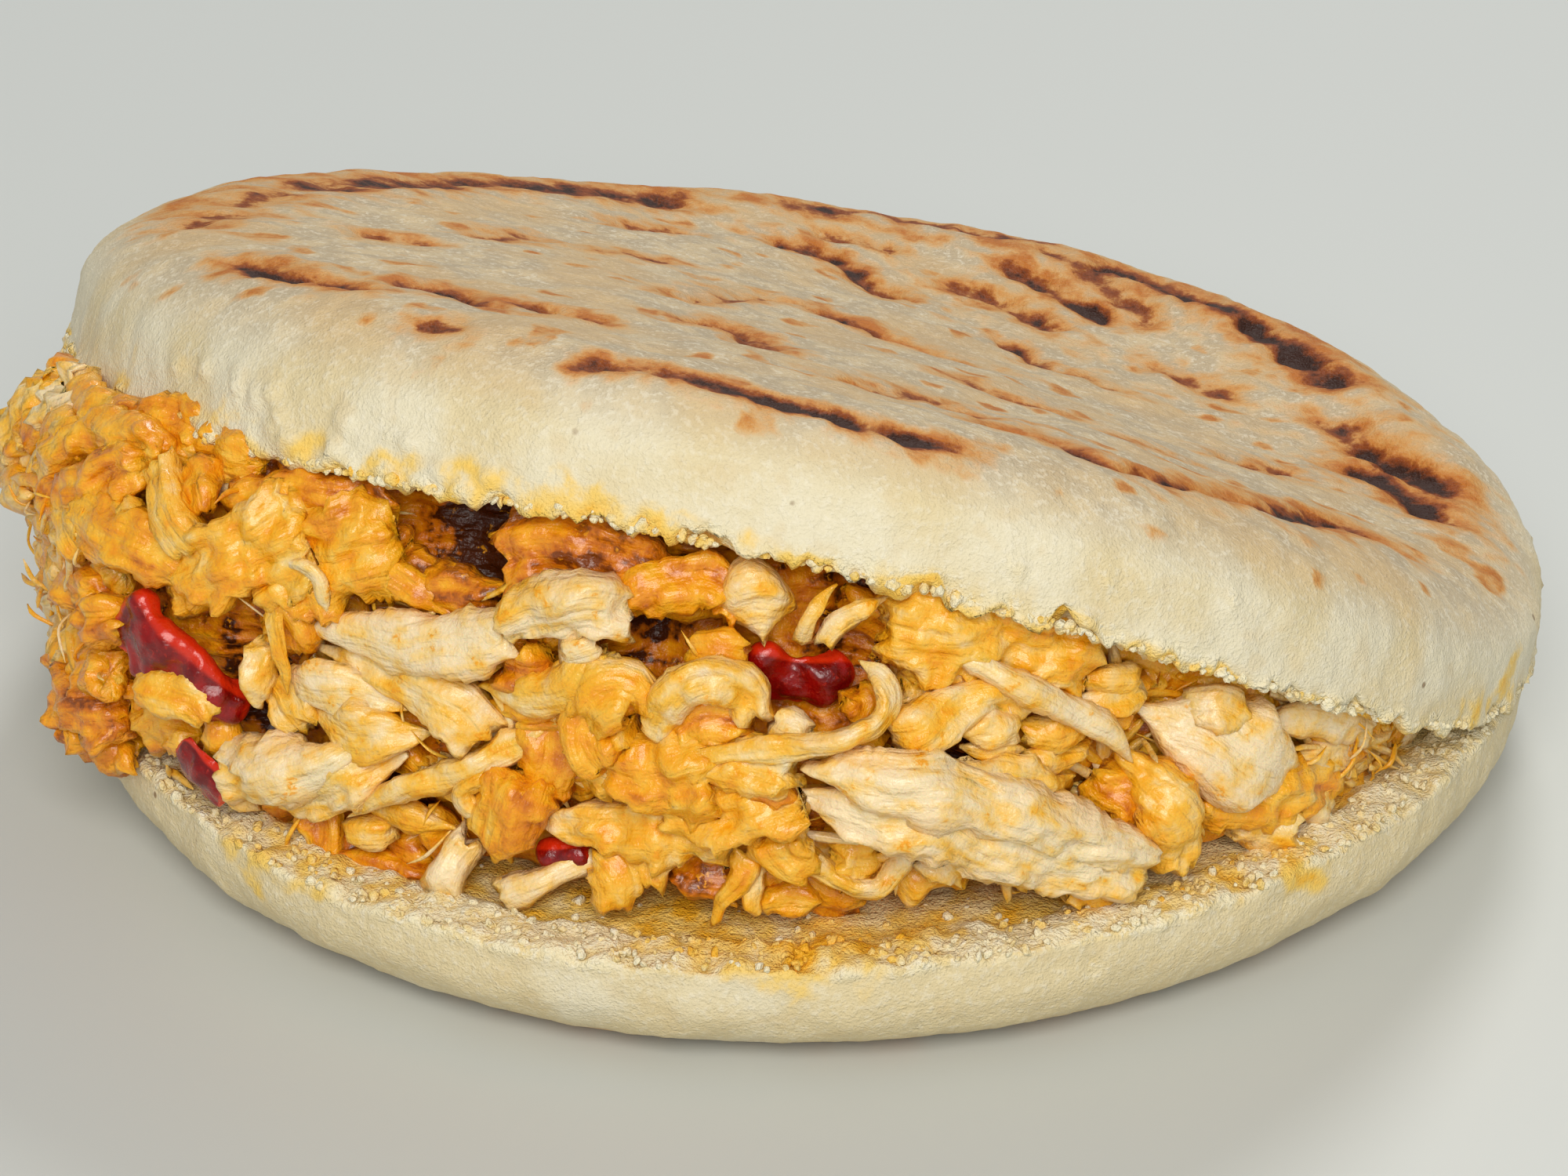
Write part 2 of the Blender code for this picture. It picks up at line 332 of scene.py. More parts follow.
class Nodes:
    """A short way to write a material's nodes."""

    def __init__(self, name):
        self.material = bpy.data.materials.new(name)
        self.material.use_nodes = True
        self.tree = self.material.node_tree
        self.tree.nodes.clear()
        self.shader = self.tree.nodes.new("ShaderNodeBsdfPrincipled")
        self.out = self.tree.nodes.new("ShaderNodeOutputMaterial")
        self.tree.links.new(self.shader.outputs[0], self.out.inputs[0])
        self.place = self.tree.nodes.new("ShaderNodeTexCoord").outputs["Object"]

    def put(self, value, socket):
        if isinstance(value, bpy.types.NodeSocket):
            self.tree.links.new(value, socket)
        else:
            socket.default_value = value

    def attr(self, name):
        node = self.tree.nodes.new("ShaderNodeAttribute")
        node.attribute_name = name
        return node.outputs["Fac"]

    def noise(self, size, detail=2.0, rough=0.5, stretch=None, distort=0.0):
        """Noise with features about `size` millimetres across, 0 to 1."""
        node = self.tree.nodes.new("ShaderNodeTexNoise")
        node.inputs["Scale"].default_value = 1 / (size * MM)
        node.inputs["Detail"].default_value = detail
        node.inputs["Roughness"].default_value = rough
        node.inputs["Distortion"].default_value = distort
        place = self.place
        if stretch:
            mapping = self.tree.nodes.new("ShaderNodeMapping")
            mapping.inputs["Scale"].default_value = stretch
            self.tree.links.new(place, mapping.inputs["Vector"])
            place = mapping.outputs[0]
        self.tree.links.new(place, node.inputs["Vector"])
        return node.outputs["Fac"]

    def cells(self, size, feature="F1", smoothness=None):
        node = self.tree.nodes.new("ShaderNodeTexVoronoi")
        node.feature = feature
        node.inputs["Scale"].default_value = 1 / (size * MM)
        self.tree.links.new(self.place, node.inputs["Vector"])
        return node.outputs["Distance"], node.outputs["Color"] if feature != "DISTANCE_TO_EDGE" else None

    def math(self, operation, a, b=0.0, c=0.0, clamp=False):
        node = self.tree.nodes.new("ShaderNodeMath")
        node.operation = operation
        node.use_clamp = clamp
        self.put(a, node.inputs[0])
        self.put(b, node.inputs[1])
        if operation in ("MULTIPLY_ADD", "COMPARE", "SMOOTH_MIN", "SMOOTH_MAX"):
            self.put(c, node.inputs[2])
        return node.outputs[0]

    def step(self, value, low, high, to_low=0.0, to_high=1.0):
        """A smooth ramp of `value` between low and high."""
        node = self.tree.nodes.new("ShaderNodeMapRange")
        node.interpolation_type = "SMOOTHSTEP"
        self.put(value, node.inputs["Value"])
        node.inputs["From Min"].default_value = low
        node.inputs["From Max"].default_value = high
        node.inputs["To Min"].default_value = to_low
        node.inputs["To Max"].default_value = to_high
        return node.outputs[0]

    def mix(self, share, a, b, kind="MIX"):
        node = self.tree.nodes.new("ShaderNodeMix")
        node.data_type = "RGBA"
        node.blend_type = kind
        node.clamp_factor = True
        self.put(share, node.inputs[0])
        self.put(a, node.inputs[6])
        self.put(b, node.inputs[7])
        return node.outputs[2]

    def ramp(self, value, *stops):
        """stops are (position, colour)."""
        node = self.tree.nodes.new("ShaderNodeValToRGB")
        marks = node.color_ramp.elements
        while len(marks) < len(stops):
            marks.new(0.5)
        for mark, (at, colour) in zip(marks, stops):
            mark.position = at
        for mark, (at, colour) in zip(marks, stops):
            mark.color = colour
        self.put(value, node.inputs[0])
        return node.outputs["Color"]

    def bump(self, height, depth, before=None):
        """`depth` is in millimetres, for a height that runs from 0 to 1."""
        node = self.tree.nodes.new("ShaderNodeBump")
        node.inputs["Strength"].default_value = 1.0
        node.inputs["Distance"].default_value = depth * MM
        self.put(height, node.inputs["Height"])
        if before is not None:
            self.tree.links.new(before, node.inputs["Normal"])
        return node.outputs[0]

    def set(self, **values):
        for key, value in values.items():
            self.put(value, self.shader.inputs[key.replace("_", " ")])
        return self


def cake_material():
    n = Nodes("corn_dough_griddled")
    fine, grit = n.noise(0.5, 2, 0.6), n.noise(0.2, 1, 0.6)
    broad, mid = n.attr("broad"), n.attr("mid")
    top, char, toast = n.attr("top"), n.attr("char"), n.attr("toast")
    crumb, stain, moist, pit_shade = n.attr("crumb"), n.attr("stain"), n.attr("moist"), n.attr("pit_shade")
    # the pale skin of the sides
    side = n.mix(n.step(broad, 0.3, 0.7), linear(228, 218, 188), linear(222, 205, 162))
    side = n.mix(n.math("MULTIPLY", n.step(fine, 0.45, 0.75), 0.4), side, linear(240, 233, 212))
    side = n.mix(n.math("MULTIPLY", n.step(mid, 0.6, 0.85), 0.25), side, linear(214, 188, 136))
    # the griddled face, grey-beige: partly its own drier skin, partly painted reflection of the sky
    face = n.mix(n.step(mid, 0.3, 0.7), linear(192, 173, 140), linear(212, 190, 150))
    face = n.mix(n.math("MULTIPLY", n.step(fine, 0.5, 0.66), 0.7), face, linear(228, 216, 190))
    face = n.mix(n.math("MULTIPLY", n.step(grit, 0.42, 0.3), 0.3), face, linear(178, 150, 112))
    warm = n.math("MULTIPLY", n.step(broad, 0.42, 0.72), 0.45)
    face = n.mix(warm, face, linear(214, 176, 118))
    colour = n.mix(top, side, face)
    # toasting, in patches round the ridges
    ragged = n.math("ADD", toast, n.math("MULTIPLY_ADD", mid, 0.7, -0.35))
    ragged = n.math("ADD", ragged, n.math("MULTIPLY_ADD", fine, 0.5, -0.25))
    ragged = n.math("MULTIPLY", ragged, n.step(toast, 0.02, 0.2))
    colour = n.mix(n.math("MULTIPLY", n.step(ragged, 0.15, 0.7), 0.85), colour, linear(212, 150, 70))
    colour = n.mix(n.math("MULTIPLY", n.step(ragged, 0.5, 0.95), 0.9), colour, linear(186, 104, 24))
    burnt = n.math("ADD", char, n.math("MULTIPLY_ADD", fine, 0.6, -0.3))
    burnt = n.math("ADD", burnt, n.math("MULTIPLY_ADD", mid, 0.9, -0.45))
    burnt = n.math("MULTIPLY", burnt, n.step(char, 0.03, 0.25))
    colour = n.mix(n.step(burnt, 0.2, 0.6), colour, linear(134, 62, 6))
    colour = n.mix(n.math("MULTIPLY", n.step(burnt, 0.55, 0.95), 0.95), colour, linear(42, 16, 3))
    # the torn crumb
    inner = n.mix(n.step(mid, 0.35, 0.68), linear(240, 229, 192), linear(236, 214, 156))
    inner = n.mix(n.step(fine, 0.45, 0.7), inner, linear(242, 234, 206))
    # painted shade: the crumb turns a deeper yellow in the crevices between its grains and in the pits, partly its own
    # colour there
    inner = n.mix(n.math("MULTIPLY", pit_shade, 0.35), inner, linear(228, 194, 118))
    colour = n.mix(crumb, colour, inner)
    colour = n.mix(n.math("MULTIPLY", moist, 0.6), colour, linear(250, 224, 150))
    # yellow oil soaked into it
    soaked = n.math("ADD", stain, n.math("MULTIPLY_ADD", mid, 0.9, -0.45))
    soaked = n.math("ADD", soaked, n.math("MULTIPLY_ADD", fine, 0.5, -0.25))
    soaked = n.math("MULTIPLY", soaked, n.step(stain, 0.02, 0.3))
    colour = n.mix(n.math("MULTIPLY", n.step(soaked, 0.1, 0.6), 0.75), colour, linear(244, 200, 74))
    colour = n.mix(n.math("MULTIPLY", n.step(soaked, 0.55, 1.0), 0.85), colour, linear(242, 176, 16))
    # a few dark flecks of bran
    spot, tint = n.cells(3.4)
    chosen = n.tree.nodes.new("ShaderNodeSeparateColor")
    n.tree.links.new(tint, chosen.inputs[0])
    fleck = n.math("MULTIPLY", n.step(spot, 0.10, 0.05), n.step(chosen.outputs[0], 0.76, 0.8))
    fleck = n.math("MULTIPLY", fleck, n.math("SUBTRACT", 1.0, n.math("MULTIPLY", top, 0.75)))
    colour = n.mix(n.math("MULTIPLY", fleck, 0.75), colour, linear(120, 84, 44))
    rough = n.math("MULTIPLY_ADD", fine, 0.25, 0.48)
    rough = n.math("SUBTRACT", rough, n.math("MULTIPLY", moist, 0.28))
    rough = n.math("SUBTRACT", rough, n.math("MULTIPLY", stain, 0.16), clamp=True)
    height = n.math("MULTIPLY_ADD", grit, 0.7, n.math("MULTIPLY", fine, 0.8))
    height = n.math("MULTIPLY", height, n.math("MULTIPLY_ADD", crumb, 0.5, 0.5))
    n.set(Base_Color=colour, Roughness=rough, Normal=n.bump(height, 0.3), Specular_IOR_Level=0.25)
    return n.material


def chicken_material(name="shredded_chicken_sauced", darkest=(126, 60, 4), coat=0.38, shine=0.42):
    n = Nodes(name)
    tone, low, rim = n.attr("tone"), n.attr("low"), n.attr("rim")
    lie = n.tree.nodes.new("ShaderNodeAttribute")
    lie.attribute_name = "lie"
    mid, fine = n.noise(1.5, 2), n.noise(0.4, 2, 0.6)
    n.place = lie.outputs["Vector"]
    streak, strand = n.noise(0.3, 1, 0.6), n.noise(0.85, 1, 0.5)
    # how much sauce covers the meat; low darkens crevices and fibre gaps, partly as pooled sauce and partly as painted
    # shade, and the core's hollows as painted shade
    sauce = n.math("ADD", tone, n.math("MULTIPLY_ADD", mid, 0.85, -0.425))
    sauce = n.math("ADD", sauce, n.math("MULTIPLY_ADD", strand, 0.44, -0.22))
    sauce = n.math("ADD", sauce, n.math("MULTIPLY_ADD", fine, 0.24, -0.12))
    sauce = n.math("ADD", sauce, n.math("MULTIPLY", low, 0.2), clamp=True)
    colour = n.ramp(
        sauce,
        (0.0, linear(244, 221, 176)),
        (0.2, linear(244, 206, 128)),
        (0.38, linear(245, 188, 62)),
        (0.56, linear(244, 172, 22)),
        (0.74, linear(234, 148, 8)),
        (0.9, linear(200, 108, 6)),
        (1.0, linear(*darkest)),
    )
    drop = n.math("MULTIPLY", n.step(mid, 0.60, 0.68), n.step(fine, 0.5, 0.6))
    colour = n.mix(n.math("MULTIPLY", drop, 0.85), colour, linear(240, 160, 8))
    colour = n.mix(n.math("MULTIPLY", rim, 0.25), colour, linear(222, 140, 24))
    rough = n.math("MULTIPLY_ADD", fine, 0.3, 0.2, clamp=True)
    height = n.math("MULTIPLY_ADD", streak, 0.6, n.math("MULTIPLY", fine, 0.7))
    height = n.math("MULTIPLY_ADD", strand, 1.7, height)
    n.set(Base_Color=colour, Roughness=rough, Normal=n.bump(height, 0.22), Specular_IOR_Level=shine)
    n.set(Subsurface_Weight=0.14, Subsurface_Radius=(1.0, 0.5, 0.18), Subsurface_Scale=1.4 * MM)
    n.set(Coat_Weight=coat, Coat_Roughness=0.12)
    return n.material


def pepper_material():
    n = Nodes("red_pepper_cooked")
    edge, mid, fine = n.attr("edge"), n.noise(1.8, 3), n.noise(0.35, 3, 0.6)
    colour = n.mix(n.step(mid, 0.35, 0.65), linear(150, 8, 6), linear(104, 4, 5))
    colour = n.mix(n.math("MULTIPLY", n.step(edge, 0.3, 0.95), 0.9), colour, linear(214, 44, 10))
    colour = n.mix(n.math("MULTIPLY", n.step(fine, 0.56, 0.7), 0.4), colour, linear(196, 44, 22))
    rough = n.math("MULTIPLY_ADD", fine, 0.2, 0.12, clamp=True)
    relief = n.bump(mid, 0.25)
    relief = n.bump(fine, 0.07, relief)
    n.set(Base_Color=colour, Roughness=rough, Normal=relief, Specular_IOR_Level=0.4)
    n.set(Subsurface_Weight=0.15, Subsurface_Radius=(1.0, 0.2, 0.1), Subsurface_Scale=1.0 * MM)
    n.set(Coat_Weight=0.3, Coat_Roughness=0.1)
    return n.material


def floor_material():
    n = Nodes("floor_pale")
    n.set(Base_Color=linear(206, 209, 205), Roughness=0.5, Specular_IOR_Level=0.3)
    return n.material


# ------------------------------------------------------------------ the cake
TURN = 840
# middle lines of the raised wrinkles, on the cake before it is opened: points, height, how
# charred the crest is, and half the width
RIDGES = [
    ([(-43, -21.4), (-40.1, -25.5), (-37.3, -27.2), (-34.8, -29.4)], 0.92, 1.17, 1.82),
    ([(-35.2, -0.4), (-32.1, 0)], 0.4, 0.5, 1.4),
    ([(-31.2, -25), (-29.5, -24.4), (-27.5, -29)], 0.86, 1.17, 1.96),
    ([(-24, -26.5), (-21.8, -28), (-19.6, -29.5)], 0.57, 0.95, 1.54),
    ([(-29.6, -40.6), (-28.4, -40.8)], 0.34, 0.44, 1.4),
    ([(-16.4, 27.7), (-11.9, 30.8)], 0.46, 0.61, 1.54),
    ([(-11.4, -18.3), (-9.1, -18), (-7, -23.5)], 0.8, 0.89, 1.82),
    ([(-19.3, -46.9), (-15, -47.5), (-10.3, -48.7), (-6.2, -49.6), (-2, -50.1), (2.2, -50.7), (7.1, -50.5)], 0.5, 0.9, 1.0),
    ([(-12.4, -5.1), (-6.6, 5.5), (-2.5, 6.6)], 0.57, 0.44, 1.82),
    ([(-0.7, 5.6), (0.8, 3.9), (3.5, 2.4), (6.9, 0.8)], 1.15, 1.17, 1.96),
    ([(-2.8, 35.4), (1.2, 34.2), (3.6, 29.8), (6, 26)], 0.69, 0.95, 1.82),
    ([(1.8, 40.1), (6.7, 39.3)], 0.46, 0.55, 1.54),
    ([(12.3, 32.4), (16.2, 30.4), (19.4, 25.8)], 0.57, 0.72, 1.68),
    ([(15.1, 16.4), (17.6, 10.2)], 0.57, 0.67, 1.68),
    ([(0.3, -34.2), (3.9, -30.4), (7.2, -31.3)], 0.69, 0.55, 2.1),
    ([(10.2, -36.8), (13, -36.9), (17.2, -39.9), (22.1, -37.2), (28.5, -32.3), (34.6, -25.6)], 0.98, 1.17, 1.96),
    ([(31.3, -28.9), (35.7, -21.3), (39, -23.4)], 0.8, 1.0, 1.82),
    ([(17.7, 38.4), (21.3, 33.7), (24.8, 29.7)], 0.57, 0.83, 1.68),
    ([(25.8, 40.6), (30.1, 38.3), (34.6, 32.1), (38.7, 24.8), (41.5, 18.4)], 0.92, 1.0, 2.1),
    ([(29.9, -8.2), (34, -4.6)], 0.57, 0.61, 1.68),
    ([(41.1, 1.2), (43.7, -1.6), (45.7, -4.7)], 0.92, 1.11, 2.24),
    ([(42.4, 5.9), (45, 2.9), (47.1, 0.1)], 0.92, 1.06, 2.1),
    ([(40.1, 10.5), (42.7, 3.6)], 0.57, 0.72, 1.82),
    ([(-48.4, -4.1), (-46.9, -0.6), (-45.3, 2.2)], 0.57, 0.55, 2.24),
    ([(-40.1, 19.1), (-34.5, 26.7), (-28.9, 34.1)], 0.46, 0.72, 2.8),
    ([(-28.9, 34.1), (-21.5, 39), (-12.7, 42.6)], 0.46, 0.83, 2.8),
    ([(7, 49), (12, 48)], 0.34, 0.61, 2.1),
    ([(15.5, 47.1), (20.1, 45.4)], 0.46, 0.72, 2.1),
    ([(21.3, 42.1), (24.9, 37.6), (28.1, 30)], 0.46, 0.61, 1.82),
    ([(-1.2, 46.5), (3.7, 47.3)], 0.34, 0.72, 2.1),
    ([(-26.7, 8), (-23.2, 12.3)], 0.29, 0.33, 1.68),
    ([(27.6, 17.8), (32, 14.2)], 0.34, 0.44, 1.68),
    ([(19.8, 10), (21.9, 6.9)], 0.34, 0.39, 1.4),
    ([(-44.5, 9.5), (-42.0, 14.0)], 0.34, 0.55, 2.24),
    ([(-18.0, 12.0), (-13.5, 13.0)], 0.29, 0.33, 1.54),
    ([(8.5, -14.0), (12.5, -16.5), (15.0, -15.5)], 0.34, 0.27, 1.82),
    ([(21.0, -19.5), (25.5, -18.0)], 0.34, 0.33, 1.68),
]
# the underside was griddled too
BASE_MARKS = [
    ([(-30, 8), (-22, 11), (-15, 9)], 0.5, 0.9, 1.6),
    ([(5, 24), (12, 20), (20, 19), (26, 14)], 0.5, 1.0, 1.5),
    ([(-8, -12), (0, -15), (7, -13)], 0.5, 0.8, 1.6),
    ([(18, -22), (24, -18), (31, -17)], 0.5, 0.9, 1.4),
    ([(-26, -20), (-20, -25), (-12, -27)], 0.5, 0.7, 1.5),
    ([(-12, 30), (-5, 33), (3, 32)], 0.5, 0.8, 1.5),
    ([(6, 4), (12, 1), (15, -4)], 0.4, 0.6, 1.4),
    ([(-36, -5), (-33, -10)], 0.4, 0.7, 1.5),
]
# where oil has soaked in, on the opened cake: middle, radius, strength
STAINS = [
    ((-42.2, -28.9, 35.5), 4.5, 0.55), ((-37.9, -33.5, 36.0), 3.6, 0.55), ((-33, -38.5, 37.5), 3.6, 0.5),
    ((-27, -42.5, 38.0), 3.4, 0.55), ((-21, -45.5, 38.2), 3.2, 0.7), ((-16, -47.2, 38.5), 3.0, 0.75),
    ((-12.9, -48.3, 38.2), 3.0, 0.7), ((-8.3, -49.5, 38.0), 2.8, 0.6), ((-3.2, -50.3, 37.0), 2.4, 0.5),
    ((-46.0, -20.0, 34.5), 4.0, 0.4),
    ((-36.4, -40.4, 9.0), 4.0, 0.5), ((-31.4, -43.0, 9.0), 3.6, 0.5), ((-27.0, -45.2, 9.0), 3.0, 0.4),
    ((-8.0, -50.1, 9.2), 3.2, 0.7), ((-3.7, -51.6, 9.2), 3.4, 0.95), ((0.6, -53.4, 9.2), 3.0, 1.0),
    ((4.1, -51.9, 9.3), 3.6, 0.95), ((8.4, -49.9, 9.3), 3.4, 0.8), ((13.0, -48.2, 9.4), 2.6, 0.5),
    ((25, -44.4, 9.5), 3.4, 0.55), ((30, -42.2, 9.6), 3.2, 0.6), ((35.4, -40.3, 9.7), 3.0, 0.6),
    ((20.0, -47.0, 9.4), 3.0, 0.4), ((48.0, -27.2, 13.6), 2.6, 0.75), ((51.8, -20.5, 14.0), 2.8, 0.75),
    ((49.9, -24.0, 13.0), 2.0, 0.5),
]
# pits and cracks in the lid's side
PITS = [
    ((-37.4, -32.2, 40.2), 1.1), ((-36.2, -33.8, 40.0), 0.9), ((-35.0, -34.6, 40.6), 0.8),
    ((-34.6, -35.7, 39.3), 1.2), ((-33.9, -36.9, 38.2), 1.0), ((-40.3, -28.9, 39.7), 0.6),
    ((-29.9, -39.2, 40.7), 0.9), ((-30.9, -39.4, 38.9), 0.7), ((-25.5, -42.2, 40.8), 0.8),
    ((-23.3, -44.0, 39.6), 0.8), ((-20.1, -45.5, 39.9), 0.6), ((-43.0, -26.5, 38.6), 0.6),
]


def distance_to(points, line):
    """Distance from points in the plane to a line, and how far along it the nearest place is."""
    fine, _, at = curve_through([(x, y, 0.0) for x, y in line], 0.4)
    near = np.full(len(points), 1e9)
    along = np.zeros(len(points))
    for k, spot in enumerate(fine):
        d = np.hypot(points[:, 0] - spot[0], points[:, 1] - spot[1])
        closer = d < near
        near[closer], along[closer] = d[closer], at[k]
    return near, along, at[-1]


def wrinkles(x, y, rows, seed):
    """(height, char, toast) of the raised wrinkles at points of the griddled face."""
    flat = np.stack([x, y, np.zeros_like(x)], -1)
    height, char, toast = np.zeros(len(x)), np.zeros(len(x)), np.zeros(len(x))
    jitter = 0.9 * noise(flat, 2.6, seed) + 0.5 * noise(flat, 1.1, seed + 77)
    for k, (line, tall, burnt, half) in enumerate(rows):
        line = np.array(line, float)
        low, high = line.min(0) - 9, line.max(0) + 9
        near = (x > low[0]) & (x < high[0]) & (y > low[1]) & (y < high[1])
        if not near.any():
            continue
        d, along, total = distance_to(flat[near], line)
        d = np.maximum(d + jitter[near] * 0.7, 0)
        lively = 0.75 + 0.35 * noise(np.stack([along, along * 0 + k, along * 0], -1), 2.6, seed + k)
        bump = 1.45 * tall * lively * np.exp(-((d / (0.88 * half)) ** 2))
        height[near] = np.maximum(height[near], bump)
        mark = burnt * np.clip(lively + 0.25, 0, 1.1) * np.exp(-((d / (0.74 * half)) ** 2.4))
        char[near] = np.maximum(char[near], mark)
        glow = (0.5 + 0.6 * burnt) * np.exp(-((d / (1.9 * half)) ** 1.5))
        toast[near] = np.maximum(toast[near], glow)
    return height, char, toast


def turned(rings, close):
    """A closed surface from rings of (count, function of x and y directions); faces are quads,
    with triangles where the count halves. rings is a list of (n, radius, extra)."""
    points, starts = [], []
    for n, *_ in rings:
        starts.append(sum(len(p) for p in points))
        points.append(np.zeros((n, 3)))
    quads, tris = [], []
    for k in range(len(rings) - 1):
        n, m = rings[k][0], rings[k + 1][0]
        a, b = starts[k], starts[k + 1]
        if n == m:
            i = np.arange(n)
            j = (i + 1) % n
            quads.append(np.stack([a + i, a + j, b + j, b + i], -1))
        elif n == 2 * m:
            i = np.arange(m)
            j = (i + 1) % m
            c0, c1, c2 = a + 2 * i, a + 2 * i + 1, a + (2 * i + 2) % n
            tris += [
                np.stack([c0, c1, b + i], -1),
                np.stack([c1, b + j, b + i], -1),
                np.stack([c1, c2, b + j], -1),
            ]
        else:
            i = np.arange(n)
            j = (i + 1) % n
            c0, c1, c2 = b + 2 * i, b + 2 * i + 1, b + (2 * i + 2) % m
            tris += [
                np.stack([a + i, c1, c0], -1),
                np.stack([a + i, a + j, c1], -1),
                np.stack([a + j, c2, c1], -1),
            ]
    total = sum(r[0] for r in rings)
    for first, ring, flip in ((0, rings[0], True), (starts[-1], rings[-1], False)):
        i = np.arange(ring[0])
        j = (i + 1) % ring[0]
        middle = np.full(ring[0], total if flip else total + 1)
        rows = [middle, first + j, first + i] if flip else [middle, first + i, first + j]
        tris.append(np.stack(rows, -1))
    return [np.concatenate(quads), np.concatenate(tris)]


def spread(profile):
    """Nominal x, y and the profile's other numbers at every point of the rings, then the two
    middle points."""
    rows = []
    for n, r, *more in profile:
        t = np.arange(n) * 2 * math.pi / n - math.pi
        rows.append(np.stack([r * np.cos(t), r * np.sin(t)] + [np.full(n, m) for m in more], -1))
    for n, r, *more in (profile[0], profile[-1]):
        rows.append(np.array([[0.0, 0.0, *more]]))
    return np.vstack(rows)


def count_at(r):
    return TURN // 4 if r < 11.5 else TURN // 2 if r < 23 else TURN


def away(points, spots):
    """The strongest pull of soft round patches on the points."""
    total = np.zeros(len(points))
    for (cx, cy, cz), radius, strength in spots:
        d2 = ((points - (cx, cy, cz)) ** 2).sum(1) / radius**2
        total = np.maximum(total, strength * np.exp(-d2))
    return total


